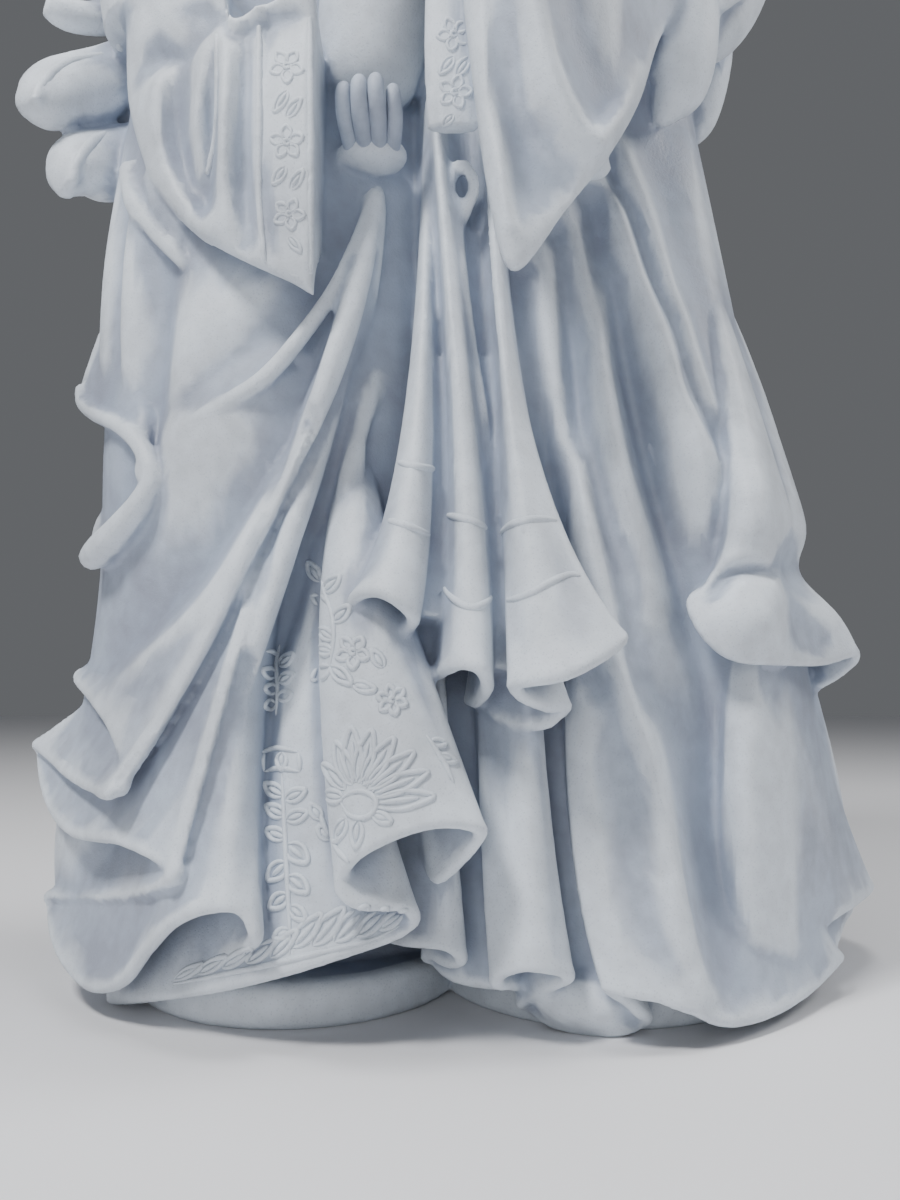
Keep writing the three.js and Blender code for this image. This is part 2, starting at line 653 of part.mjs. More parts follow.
// Larger facets where the surface is nearly flat. Edges are closed up one by one, first the one that moves the
// surface least, as told by the summed squares of the distances to the planes that met there. What lies on the
// underside stays on it.
function coarsened({ points, faces }, mostFaces) {
  const fans = points.map(() => new Set());
  const planes = points.map(() => new Float64Array(10));
  const moves = points.map(() => 0);
  const corners = (face) => face.map((n) => points[n]);
  const normalOf = ([a, b, c]) => b.clone().sub(a).cross(c.clone().sub(a));
  for (const face of faces) {
    const n = normalOf(corners(face));
    const area = n.length();
    n.divideScalar(area || 1);
    const plane = [n.x, n.y, n.z, -n.dot(points[face[0]])];
    for (const corner of face) {
      fans[corner].add(face);
      let k = 0;
      for (let i = 0; i < 4; i++) for (let j = i; j < 4; j++) planes[corner][k++] += area * plane[i] * plane[j];
    }
  }
  const distance = (q, { x, y, z }) =>
    q[0] * x * x + q[4] * y * y + q[7] * z * z + q[9] +
    2 * (q[1] * x * y + q[2] * x * z + q[3] * x + q[5] * y * z + q[6] * y + q[8] * z);
  const neighbours = (i) => new Set([...fans[i]].flat().filter((n) => n !== i));

  const heap = [];
  const swap = (i, j) => ([heap[i], heap[j]] = [heap[j], heap[i]]);
  const push = (entry) => {
    let i = heap.push(entry) - 1;
    for (let up = (i - 1) >> 1; i > 0 && heap[i].cost < heap[up].cost; i = up, up = (i - 1) >> 1) swap(i, up);
  };
  const pop = () => {
    const top = heap[0];
    const last = heap.pop();
    if (heap.length) heap[0] = last;
    for (let i = 0; ; ) {
      let least = i;
      for (const child of [2 * i + 1, 2 * i + 2])
        if (child < heap.length && heap[child].cost < heap[least].cost) least = child;
      if (least === i) return top;
      swap(i, least);
      i = least;
    }
  };
  const offer = (a, b) => {
    const [pa, pb] = [points[a], points[b]];
    if ((pa.z === 0) !== (pb.z === 0)) return;
    const both = planes[a].map((value, k) => value + planes[b][k]);
    const places = [pa, pb, pa.clone().lerp(pb, 0.5)].map((place) => ({ place, cost: distance(both, place) }));
    const { place, cost } = places.sort((one, other) => one.cost - other.cost)[0];
    push({ cost: cost + 1e-6 * pa.distanceToSquared(pb), a, b, both, place, state: [moves[a], moves[b]] });
  };
  for (const face of faces)
    for (let k = 0; k < 3; k++) {
      const [a, b] = [face[k], face[(k + 1) % 3]];
      if (a < b) offer(a, b);
    }

  let count = faces.length;
  while (count > mostFaces && heap.length) {
    const { a, b, both, place, state } = pop();
    if (moves[a] !== state[0] || moves[b] !== state[1]) continue;
    const shared = neighbours(a).intersection(neighbours(b));
    if (shared.size !== 2) continue;
    const kept = [...fans[a].symmetricDifference(fans[b])];
    const turnsOver = kept.some((face) => {
      const before = normalOf(corners(face));
      const after = normalOf(face.map((n) => (n === a || n === b ? place : points[n])));
      return before.dot(after) <= 0.3 * before.length() * after.length() || after.length() < 0.05;
    });
    if (turnsOver) continue;
    const gone = [...fans[a].intersection(fans[b])];
    for (const face of gone) for (const n of face) fans[n].delete(face);
    for (const face of fans[b]) {
      face[face.indexOf(b)] = a;
      fans[a].add(face);
    }
    fans[b].clear();
    points[a] = place.clone();
    planes[a] = both;
    moves[a]++;
    moves[b] = -1;
    count -= gone.length;
    for (const n of neighbours(a)) offer(Math.min(a, n), Math.max(a, n));
  }
  setApart(points, fans.map((fan) => [...fan].map((face) => normalOf(corners(face)))));
  return { points, faces: [...new Set(fans.flatMap((fan) => [...fan]))] };
}

// Where two folds just touch, each draws back by a hair into its own cloth, so that they stay two surfaces.
function setApart(points, normals) {
  const hair = 0.02;
  const taken = new Set();
  const cellOf = (p) => p.toArray().map((value) => Math.round(value / hair));
  const around = [-1, 0, 1].flatMap((x) => [-1, 0, 1].flatMap((y) => [-1, 0, 1].map((z) => [x, y, z])));
  const crowded = (p) => around.some((step) => taken.has(cellOf(p).map((n, i) => n + step[i]).join()));
  points.forEach((p, i) => {
    if (!normals[i].length) return;
    const inward = normals[i].reduce((sum, n) => sum.sub(n), new THREE.Vector3()).normalize();
    while (crowded(p)) p.addScaledVector(inward, hair);
    taken.add(cellOf(p).join());
  });
}

const { points, faces } = coarsened(outerShell(casting), facetBudget);
const geometry = new THREE.BufferGeometry().setFromPoints(faces.flat().map((n) => points[n]));
geometry.computeVertexNormals();
const statue = new THREE.Mesh(
  geometry,
  new THREE.MeshStandardMaterial({ color: castingColour, roughness: 0.62, metalness: 0 }),
);
statue.name = "holy_family_group";

const group = new THREE.Group();
group.add(statue);
export default group;
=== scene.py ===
import math
import time

import bpy
import numpy as np
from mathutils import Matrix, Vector
from mathutils.bvhtree import BVHTree


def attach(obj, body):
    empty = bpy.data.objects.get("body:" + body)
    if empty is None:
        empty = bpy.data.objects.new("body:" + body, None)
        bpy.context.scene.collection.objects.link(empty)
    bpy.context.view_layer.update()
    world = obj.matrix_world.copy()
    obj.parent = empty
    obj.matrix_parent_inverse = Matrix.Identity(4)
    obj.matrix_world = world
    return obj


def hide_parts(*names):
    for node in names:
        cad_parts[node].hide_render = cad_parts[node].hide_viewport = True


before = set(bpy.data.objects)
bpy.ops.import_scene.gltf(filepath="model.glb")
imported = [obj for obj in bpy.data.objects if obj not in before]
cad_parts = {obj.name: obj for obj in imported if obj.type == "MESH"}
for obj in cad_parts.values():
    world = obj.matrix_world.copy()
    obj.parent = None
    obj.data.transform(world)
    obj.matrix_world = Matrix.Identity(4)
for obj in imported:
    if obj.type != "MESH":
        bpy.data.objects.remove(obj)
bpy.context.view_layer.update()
started = time.time()


def stage(words):
    print(f"{time.time() - started:6.1f} s  {words}")


# The figures are drawn in millimetres: x to the viewer's right, y to the back, z up.

# Curves and folds

def smoothStep(value, low, high):
    t = np.clip((value - low) / (high - low), 0, 1)
    return t * t * (3 - 2 * t)


def unit(vectors):
    return vectors / np.maximum(np.linalg.norm(vectors, axis=-1, keepdims=True), 1e-9)


def fullTurn(count):
    return np.linspace(0, 2 * np.pi, count, endpoint=False)


def crowdedTurn(count, share):  # a full turn with its steps closer together at the front
    even = np.linspace(-np.pi, np.pi, count, endpoint=False)[None, :]
    return even - share * np.sin(even)


def between(rows, t):  # numbers on a smooth curve through rows of numbers
    rows = np.asarray(rows, float)
    place = np.asarray(t, float) * (len(rows) - 1)
    k = np.clip(np.floor(place).astype(int), 0, len(rows) - 2)
    f = (place - k)[..., None]
    p, q, r, s = [rows[np.clip(k + n, 0, len(rows) - 1)] for n in (-1, 0, 1, 2)]
    return q + 0.5 * f * (r - p + f * (2 * p - 5 * q + 4 * r - s + f * (3 * (q - r) + s - p)))


def through(points, t):  # a curve that turns tightly at close points, for folded hems
    p = np.asarray(points, float)
    p = np.vstack([2 * p[0] - p[1], p, 2 * p[-1] - p[-2]])
    place = np.asarray(t, float) * (len(points) - 1)
    k = np.clip(np.floor(place).astype(int), 0, len(points) - 2)
    f = (place - k)[..., None]
    a, b, c, d = p[k], p[k + 1], p[k + 2], p[k + 3]
    ab, bc, cd = [np.sqrt(np.maximum(np.linalg.norm(n - m, axis=-1, keepdims=True), 1e-6))
                  for m, n in ((a, b), (b, c), (c, d))]
    leave = ((b - a) / ab - (c - a) / (ab + bc) + (c - b) / bc) * bc
    arrive = ((c - b) / bc - (d - b) / (bc + cd) + (d - c) / cd) * bc
    return b + f * (leave + f * (3 * (c - b) - 2 * leave - arrive + f * (2 * (b - c) + leave + arrive)))


def crease(width, crest, sharp=2.0):  # a fold along points of [across, up, height]; negative is a valley
    return {"width": width, "crest": between(crest, np.linspace(0, 1, 25)), "sharp": sharp}


def raised(creases, x, z):
    total = np.zeros(np.broadcast(x, z).shape)
    for fold in creases:
        nearest = np.full(total.shape, np.inf)
        height = np.zeros(total.shape)
        for (x0, z0, h0), (x1, z1, h1) in zip(fold["crest"], fold["crest"][1:]):
            dx, dz = x1 - x0, z1 - z0
            t = np.clip(((x - x0) * dx + (z - z0) * dz) / (dx * dx + dz * dz), 0, 1)
            away = np.hypot(x - x0 - t * dx, z - z0 - t * dz)
            closer = away < nearest
            nearest = np.where(closer, away, nearest)
            height = np.where(closer, h0 + t * (h1 - h0), height)
        total += height * np.exp(-np.power(nearest / fold["width"], fold["sharp"]))
    return total


# Closed shells, each a pair of points and faces

def ringShell(rings):  # rings: (levels, around, 3)
    levels, around, _ = rings.shape
    ends = [rings[0].mean(axis=0), rings[-1].mean(axis=0)]
    points = np.vstack([rings.reshape(-1, 3), ends])
    i = np.arange(around)
    following = (i + 1) % around
    low = (np.arange(levels - 1) * around)[:, None]
    sides = np.stack([low + i, low + following, low + around + following, low + around + i], axis=-1)
    last = (levels - 1) * around
    first = levels * around
    bottom = np.stack([np.full(around, first), following, i], axis=-1)
    top = np.stack([np.full(around, first + 1), last + i, last + following], axis=-1)
    return points, [*sides.reshape(-1, 4).tolist(), *bottom.tolist(), *top.tolist()]


def slabShell(front, back):  # front and back: (rows, columns, 3)
    rows, columns, _ = front.shape
    size = rows * columns
    a = (np.arange(rows - 1)[:, None] * columns + np.arange(columns - 1)).reshape(-1)
    faceFront = np.stack([a, a + columns, a + columns + 1, a + 1], axis=-1)
    faceBack = np.stack([a, a + 1, a + columns + 1, a + columns], axis=-1) + size
    rim = np.concatenate([
        np.arange(columns - 1),
        np.arange(rows - 1) * columns + columns - 1,
        size - 1 - np.arange(columns - 1),
        (rows - 1 - np.arange(rows - 1)) * columns,
    ])
    following = np.roll(rim, -1)
    faceRim = np.stack([rim, following, following + size, rim + size], axis=-1)
    faces = [*faceFront.tolist(), *faceBack.tolist(), *faceRim.tolist()]
    return np.vstack([front.reshape(-1, 3), back.reshape(-1, 3)]), faces


# Plain folds at the back of both skirts, and how closely a skirt's steps crowd at its front
skirtMaking = {"backFolds": 13, "foldDepth": 4.0, "crowding": 0.45}


def column(rows, creases=(), levels=260, around=380):  # rows: [up, x, y, half width, half depth, folds]
    t = np.linspace(0, 1, levels)[:, None]
    z, x, y, halfWidth, halfDepth, plain = np.moveaxis(between(rows, t), -1, 0)
    turn = crowdedTurn(around, skirtMaking["crowding"])
    across, facing = np.sin(turn), np.cos(turn)
    ripple = (plain * skirtMaking["foldDepth"] * smoothStep(-facing, -0.3, 0.4)
              * np.cos(skirtMaking["backFolds"] * turn))
    place = x + halfWidth * across
    height = np.broadcast_to(z, place.shape)
    out = ripple + smoothStep(facing, -0.2, 0.3) * raised(creases, place, height)
    return ringShell(np.stack([place + out * across, y - (halfDepth + out) * facing, height], axis=-1))


def roll(path, flat=1.0, around=36, levels=60, out=(0, -1, 0)):  # path: [x, y, z, radius]
    path = between(path, np.linspace(0, 1, levels))
    along = np.gradient(path[:, :3], axis=0)
    side = unit(np.cross(along, out))
    up = unit(np.cross(side, along))
    turn = fullTurn(around)
    radius = path[:, 3][:, None, None]
    rings = (path[:, None, :3] + radius * np.cos(turn)[None, :, None] * side[:, None]
             + radius * flat * np.sin(turn)[None, :, None] * up[:, None])
    return ringShell(rings)


def tube(path, around=12):  # round rod along close points of [x, y, z, radius]
    along = unit(np.gradient(path[:, :3], axis=0))
    side = unit(np.cross(along, (0.13, 0.07, 0.99)))
    up = np.cross(side, along)
    turn = fullTurn(around)
    rings = (path[:, None, :3] + path[:, 3][:, None, None]
             * (np.cos(turn)[None, :, None] * side[:, None] + np.sin(turn)[None, :, None] * up[:, None]))
    return ringShell(rings)


def mass(centre, halves, locks=0, twist=0.0, lockDepth=0.035, around=120, levels=70):
    t = np.linspace(0, 1, levels)[1:-1, None]
    turn = fullTurn(around)[None, :]
    lift, girth = np.cos(np.pi * t), np.sin(np.pi * t)
    wave = np.cos(locks * turn + twist * lift) if locks else 0 * turn
    reach = 1 + lockDepth * wave
    rings = np.stack([centre[0] + halves[0] * girth * reach * np.cos(turn),
                      centre[1] + halves[1] * girth * reach * np.sin(turn),
                      centre[2] + halves[2] * reach * lift], axis=-1)
    return ringShell(rings)


# thinAtTop is a share of the thickness; fall bends the cloth from its middle line to the hem
clothMaking = {"thickness": 3.4, "thinAtTop": 0.8, "backing": 3, "rimRadius": 2.1, "fall": 1.2}


def cloth(hem, middle, top, columns=700, levels=130, creases=(), pinch=None):
    u = np.linspace(0, 1, columns)[None, :]
    v = np.linspace(0, 1, levels)[:, None]
    keys = [hem[round(k * (len(hem) - 1) / (len(middle) - 1))] for k in range(len(middle))]
    high, half, low, edge = [through(line, u)[0][None] for line in (top, middle, keys, hem)]
    w = v[..., None]
    place = (high * (1 - w) * (1 - 2 * w) + half * 4 * w * (1 - w) + low * w * (2 * w - 1)
             + (edge - low) * w ** clothMaking["fall"])
    place[..., 1] -= raised(creases, place[..., 0], place[..., 2])
    if pinch:  # drawn in sideways at one height
        level = (place[..., 2] - pinch["height"]) / pinch["reach"]
        share = smoothStep(place[..., 0], pinch["from"], pinch["to"])
        place[..., 0] -= pinch["depth"] * np.exp(-level ** 2) * share
    inward = unit(np.cross(np.gradient(place, axis=1), np.gradient(place, axis=0)))
    thin = clothMaking["thinAtTop"]
    thickness = clothMaking["thickness"] * (thin + (1 - thin) * v)
    back = place + inward * thickness[..., None]
    behind = place + [0, clothMaking["backing"], 0]
    rimLine = (place[-1] + inward[-1] * thickness[-1, 0] / 2)[::2]
    rim = tube(np.column_stack([rimLine, np.full(len(rimLine), clothMaking["rimRadius"])]))
    return [slabShell(place, back), slabShell(place, behind), rim]


# The sleeve narrows to its lip at the bottom and the top; opening and closing are shares of its height
sleeveMaking = {"lip": 5, "opening": (0.03, 0.4), "closing": (0.9, 0.99), "fullness": 0.55}


def sleeve(rows, creases=(), levels=170, around=220):  # rows: [across, front, back, top, bottom]
    t = np.linspace(0, 1, levels)[:, None]
    x, front, back, top, bottom = np.moveaxis(between(rows, t), -1, 0)
    turn = fullTurn(around)[None, :]
    height = (1 + np.cos(turn)) / 2
    lip = sleeveMaking["lip"]
    opening = smoothStep(height, *sleeveMaking["opening"])
    closing = 1 - smoothStep(height, *sleeveMaking["closing"])
    half = lip + (np.maximum(back - front, 2 * lip) / 2 - lip) * opening * closing
    bend = np.sign(np.sin(turn)) * np.power(np.abs(np.sin(turn)), sleeveMaking["fullness"])
    z = bottom + (top - bottom) * height
    out = smoothStep(-np.sin(turn), -0.1, 0.3) * raised(creases, np.broadcast_to(x, z.shape), z)
    y = front + half + half * bend - out
    return ringShell(np.stack([np.broadcast_to(x, z.shape), y, z], axis=-1))


def headTurn(turn, nod, lean):  # nod first, then lean, then turn
    (cx, sx), (cy, sy), (cz, sz) = [(math.cos(angle), math.sin(angle)) for angle in (nod, lean, turn)]
    nodding = np.array([[1, 0, 0], [0, cx, -sx], [0, sx, cx]])
    leaning = np.array([[cy, 0, sy], [0, 1, 0], [-sy, 0, cy]])
    turning = np.array([[cz, -sz, 0], [sz, cz, 0], [0, 0, 1]])
    return turning @ leaning @ nodding


# Shares of a head's height; the features are [across, up, width, tallness, out]
headShape = {"halfWidth": 0.35, "halfDepth": 0.43, "back": 0.03, "jawNarrowing": 0.3, "crowding": 0.35}
faceFeatures = {
    "brow": [0.13, 0.08, 0.1, 0.03, 0.018],
    "eyeSocket": [0.14, 0.02, 0.06, 0.035, -0.04],
    "eyelid": [0.14, 0, 0.042, 0.022, 0.024],
    "noseBridge": [0, -0.03, 0.028, 0.08, 0.05],
    "noseTip": [0, -0.13, 0.04, 0.035, 0.085],
    "cheek": [0.17, -0.14, 0.08, 0.08, 0.016],
    "upperLip": [0, -0.255, 0.065, 0.016, 0.03],
    "lowerLip": [0, -0.29, 0.055, 0.016, 0.03],
    "chin": [0, -0.42, 0.08, 0.06, 0.035],
}


def head(centre, height, turn=0.0, nod=0.0, lean=0.0, around=200, levels=140):
    t = np.linspace(0, 1, levels)[1:-1, None]
    lift, girth = np.cos(np.pi * t), np.sin(np.pi * t)
    jaw = 1 - headShape["jawNarrowing"] * smoothStep(-lift, 0.1, 1)
    angle = crowdedTurn(around, headShape["crowding"])
    x = headShape["halfWidth"] * jaw * girth * np.sin(angle)
    z = np.broadcast_to(0.5 * lift, x.shape)
    y = headShape["back"] - headShape["halfDepth"] * girth * np.cos(angle)
    facing = smoothStep(np.cos(angle), 0.1, 0.8)
    for across, up, width, tallness, out in faceFeatures.values():
        for side in ((-1, 1) if across else (1,)):
            away = ((x - side * across) / width) ** 2 + ((z - up) / tallness) ** 2
            y = y - facing * out * np.exp(-away / 2)
    rings = np.stack([x, y, z], axis=-1) * height @ headTurn(turn, nod, lean).T + np.asarray(centre, float)
    return ringShell(rings)


# A finger's girth at some shares of its length, the joints' radius, and the sizes of palm and wrist
handShape = {"along": [0, 0.35, 0.6, 0.85, 1], "girth": [1.1, 1.04, 0.98, 0.86, 0.45], "fingerRadius": 2.7,
             "wristRadius": 8, "knuckleRadius": 7, "palmHalves": [9, 6, 8]}


def hand(wrist, palm, reach, spread, lengths, curl):
    palm, reach, spread, curl = [np.asarray(n, float) for n in (palm, reach, spread, curl)]
    parts = []
    for k, length in enumerate(lengths):
        path = [[*(palm + spread * (k - 1.5) + reach * length * part + curl * part * part),
                 handShape["fingerRadius"] * girth]
                for part, girth in zip(handShape["along"], handShape["girth"])]
        parts.append(roll(path, around=24, levels=30))
    parts.append(roll([[*wrist, handShape["wristRadius"]], [*palm, handShape["knuckleRadius"]]], levels=12))
    parts.append(mass(palm, handShape["palmHalves"], around=60, levels=36))
    return parts


# The mother

mother = {
    "body": [
        [10, -66, -2, 70, 50, 0.6], [50, -66, 1, 73, 55, 1], [97, -61, 1, 69, 57, 1],
        [140, -57, 0, 68, 59, 0.9], [185, -57, -2, 67, 61, 0.8], [235, -57, -3, 65, 58, 0.6],
        [285, -57, -3, 63, 51, 0.4], [330, -57, -2, 60, 45, 0], [375, -57, 0, 56, 40, 0],
        [412, -57, 3, 54, 36, 0], [436, -59, 5, 44, 30, 0], [450, -61, 5, 26, 22, 0],
        [480, -62, 0, 17, 18, 0],
    ],
    "bodyCreases": [
        crease(7, [[-112, 290, 2], [-116, 250, 5], [-118, 215, 4], [-119, 190, 0]]),
        crease(6, [[-101, 285, 2], [-104, 245, 5], [-105, 215, 4], [-106, 195, 0]]),
        crease(5, [[-109, 290, -2], [-111, 250, -5], [-112, 215, -4], [-112, 190, 0]]),
        crease(24, [[-74, 235, 0], [-70, 200, 5], [-76, 165, 6], [-90, 125, 0]]),
        crease(7, [[-92, 260, 0], [-94, 215, -6], [-97, 180, -6], [-100, 140, 0]]),
        crease(8, [[-38, 232, 0], [-56, 210, -4], [-78, 192, -4], [-92, 180, 0]]),
        crease(5, [[-82, 432, 0], [-70, 408, 4], [-56, 392, 4], [-40, 384, 0]]),
        crease(5, [[-86, 408, 0], [-74, 380, 4], [-56, 360, 5], [-38, 350, 0]]),
        crease(5, [[-84, 420, 0], [-72, 395, -3], [-56, 376, -3], [-38, 366, 0]]),
        crease(6, [[-80, 380, 0], [-76, 350, 4], [-70, 320, 4], [-66, 290, 0]]),
    ],
    "fanFold": [
        [-24.5, -54, 258.5, 1.8], [-26.5, -58, 249.5, 2], [-30.5, -63, 235.5, 2.2], [-36, -67, 221, 2.4],
        [-45.5, -69, 206, 2.6], [-56, -69, 193.5, 2.8], [-67, -67, 186.5, 2.8], [-78.5, -63, 180, 2.6],
        [-90.5, -56, 172.5, 1.2],
    ],
    "recessFold": [
        [-20.5, -44, 226, 2], [-21.5, -46, 216, 3.6], [-24, -52, 202.5, 2.8], [-27, -56, 190, 4.4],
        [-29, -59, 176.5, 3.2], [-31, -62, 160, 4.2], [-33.5, -64, 141, 2.6],
    ],
    "sleeve": [
        [-114, -30, -8, 350, 320], [-110, -40, -4, 352, 298], [-103, -50, 2, 350, 277],
        [-96, -56, -2, 344, 261], [-88, -62, -6, 346, 250], [-77, -70, -18, 345, 238],
        [-72, -75, -24, 328, 234], [-67.5, -77, -28, 306, 231], [-58, -81, -36, 307, 225],
        [-47, -84, -40, 309, 219], [-40.5, -84, -44, 308, 215],
    ],
    "sleeveCreases": [
        crease(7, [[-108, 304, 0], [-97, 305, -6], [-86, 307, -7], [-75, 308, -5]]),
        crease(5, [[-92, 300, 2], [-95, 289, 4], [-94, 279, 5], [-90, 266, 5], [-84, 252, 5],
                   [-74, 238, 3]]),
        crease(7, [[-86, 300, -3], [-87, 277, -7], [-84, 265, -8], [-78, 250, -5]]),
        crease(4, [[-75, 300, 4], [-77, 285, 5], [-79, 273, 5], [-78, 262, 4], [-74, 249, 1]]),
        crease(3.6, [[-73.5, 300, -4], [-73.5, 277, -7], [-73.5, 263, -7], [-75, 252, -5], [-75, 244, -1]]),
        crease(4, [[-68, 308, 1], [-68, 296, 4], [-68, 280, 5], [-69, 265, 5], [-69, 251, 4],
                   [-66, 238, 2]]),
        crease(4, [[-62, 297, 0], [-62, 286, -3], [-62, 271, -4], [-62, 252, -5], [-60, 233, -2]]),
        crease(1.5, [[-58.5, 306, 1.2], [-58, 271, 1.4], [-58, 246, 1.4], [-56, 227, 1]]),
        crease(2.4, [[-55.5, 306, -1], [-55.5, 271, -1.4], [-55.5, 246, -1.4], [-53, 228, -1]]),
        crease(2.2, [[-43, 305, 1.4], [-43, 277, 1.4], [-42, 246, 1.4], [-42, 224, 1]]),
    ],
    "upperArm": [[-84, 2, 442, 12], [-98, -6, 408, 23], [-104, -16, 365, 24], [-105, -24, 330, 18]],
    "veilEdge": [
        [-70.1, -28.8, 440, 3], [-76.5, -29.0, 452, 3.6], [-79.8, -28.6, 470, 4], [-79.2, -28.9, 488, 4],
        [-72.6, -30.8, 504, 4], [-61.8, -31.1, 515, 4], [-51.9, -29.1, 518, 4], [-43.1, -24.2, 515, 4],
        [-35.0, -17.1, 504, 4], [-31.2, -11.4, 488, 4], [-30.9, -10.8, 470, 4], [-33.3, -13.2, 452, 3.6],
        [-38.2, -17.1, 440, 3],
    ],
    "hoodCreases": [
        crease(5, [[-86, 500, 0], [-92, 470, 3], [-100, 430, 4], [-104, 380, 4], [-105, 330, 3]]),
        crease(5, [[-34, 500, 0], [-30, 470, 3], [-24, 430, 3], [-20, 390, 0]]),
        crease(6, [[-78, 446, 0], [-86, 420, -3], [-92, 385, -3], [-94, 340, 0]]),
    ],
    "forearm": [
        [-104, -14, 356, 20], [-96, -30, 338, 19], [-84, -44, 318, 16], [-68, -56, 298, 12],
        [-52, -60, 284, 9],
    ],
    "hood": [
        [280, -59, 8, 62, 44, 0.6], [330, -60, 10, 63, 44, 0.6], [380, -61, 11, 62, 41, 0.5],
        [415, -62, 11, 58, 37, 0.4], [436, -63, 11, 48, 33, 0.2], [452, -63, 10, 35, 30, 0],
        [475, -62, 7, 30, 32, 0], [500, -61, 4, 31, 34, 0], [520, -60, 4, 27, 29, 0],
        [532, -60, 5, 16, 18, 0], [536, -60, 5, 6, 7, 0],
    ],
    "head": {"centre": [-60, -7, 491], "height": 68, "turn": 0.35, "nod": 0.2, "lean": 0.08},
}

# The mantle across her knees. Its hem turns back on itself at every fold: three trumpets at her side, the
# broad front, and the panel that rolls forward.
mantle = {
    "hem": [
        [-126, 10, 106.5], [-128.5, 2, 106.5], [-130, -6, 106], [-131, -12, 105], [-129.5, -18, 103],
        [-117.5, -38, 96.5], [-103.5, -60, 87], [-96, -73, 77.5], [-95.5, -77, 69], [-106.5, -60, 68.5],
        [-122, -38, 71], [-136, -18, 75.5], [-145, -8, 78], [-139, -20, 66], [-120, -48, 55.5],
        [-95, -72, 55], [-74.5, -89, 48.5], [-88, -68, 39.5], [-105.5, -48, 34], [-123, -30, 30.5],
        [-135, -20, 28], [-128.5, -34, 17.5], [-110.5, -56, 10], [-97.5, -68, 14], [-87, -78, 26],
        [-78, -86, 35], [-66.5, -93, 40.5], [-56, -96, 41], [-50.5, -93, 33], [-60, -80, 25.5],
        [-74.5, -66, 19], [-91.5, -52, 10.5], [-106, -44, 3], [-85, -66, 10], [-59, -84, 18.5],
        [-32.5, -92, 27.5], [-11.5, -88, 35], [-13.5, -90, 39.5], [-19, -92, 40.5], [-25.5, -94, 41.5],
        [-31, -95, 47], [-28, -99, 53.5], [-17.5, -103, 60.5], [-2.5, -104, 65], [9.5, -98, 62.5],
        [7.5, -92, 57], [3.5, -86, 51.5], [0.5, -82, 48], [-2, -79, 46], [-4, -73, 48.5], [-6, -68, 51.5],
        [-8, -62, 53.5], [-10, -56, 56],
    ],
    "middle": [
        [-64.5, -44, 167.5], [-62.5, -48, 166], [-49, -70, 169], [-49, -81, 158], [-52, -73, 151.5],
        [-54, -60, 155.5], [-51, -50, 161], [-52, -68, 149.5], [-53.5, -77, 137.5], [-55, -62, 138],
        [-54.5, -50, 139], [-52.5, -68, 132], [-52, -77, 127.5], [-51.5, -72, 127.5], [-52, -62, 126.5],
        [-53, -54, 125.5], [-53, -52, 123], [-46, -62, 124], [-35.5, -60, 130], [-37, -60, 132],
        [-38.5, -68, 135.5], [-29, -77, 136.5], [-17.5, -68, 140], [-18, -56, 139], [-21, -48, 141],
        [-22, -44, 142], [-22, -40, 142],
    ],
    "top": [
        [-25.5, -46, 265], [-24.5, -51, 263], [-23.5, -53, 261], [-22.5, -51, 259], [-22, -49, 243],
        [-26, -50, 194], [-24, -47, 176], [-22, -42, 170],
    ],
    "creases": [
        crease(4, [[-23, 236, 2], [-32, 205, 3], [-43, 180, 4], [-54, 155, 4], [-70, 128, 4],
                   [-89, 112, 3], [-107, 99, 0]]),
        crease(3, [[-20, 235, -3], [-28, 209, -5], [-37, 186, -5], [-45, 166, -4], [-53, 150, -2]]),
        crease(4, [[-31, 235, 0], [-34, 226, -4], [-39, 216, -7], [-48, 199, -7], [-59, 181, -6],
                   [-66, 169, -2]]),
        crease(2.8, [[-30, 222, 0], [-37, 202, -4], [-41, 189, -5], [-47, 173, -5], [-52, 158, -5],
                     [-57, 141, -2]]),
        crease(3.5, [[-40, 174, -2], [-47, 155, -4], [-54, 142, -3], [-60, 130, 0]]),
        crease(4, [[-45, 137, -2], [-49, 119, -4], [-54, 101, -4], [-55, 78, -4], [-55, 49, -3],
                   [-54, 29, 0]]),
    ],
}

# The free edge of the mantle at her side: a wave that stands out and rolls over
sideWave = {
    "upper": {
        "hem": [
            [-132.5, -14, 204.5], [-129, -20, 197.5], [-120.5, -30, 191], [-109, -43, 184.5],
            [-101, -51, 178], [-97, -55, 171.5], [-95.5, -56, 164],
        ],
        "middle": [[-132, -10, 213.5], [-117, -30, 207], [-104.5, -44, 196.5], [-96, -50, 183]],
        "top": [[-130, -2, 231], [-118, -24, 223.5], [-107, -36, 215], [-98, -40, 200]],
    },
    "inner": {
        "hem": [
            [-120, -20, 190], [-122, -16, 181], [-118.5, -16, 172], [-120, -16, 165], [-124, -16, 158],
            [-126, -16, 151.5],
        ],
        "middle": [[-110, -34, 185], [-108.5, -36, 175], [-108.5, -34, 165], [-120.5, -26, 151]],
        "top": [[-101.5, -50, 178.5], [-96, -55, 169], [-97, -55, 160.5], [-118.5, -34, 150]],
    },
    "rim": [
        [-132, -14, 206, 2], [-129, -19, 199, 2.6], [-121, -29, 192.5, 2.8], [-109, -43, 185.5, 3],
        [-100, -52, 178, 3.2], [-95, -56, 170.5, 3.2], [-93.5, -57, 164, 3.4], [-98, -54, 156.5, 4.2],
        [-106.5, -46, 149.5, 5.2], [-115, -38, 144.5, 5.4], [-121.5, -30, 142.5, 4],
    ],
}

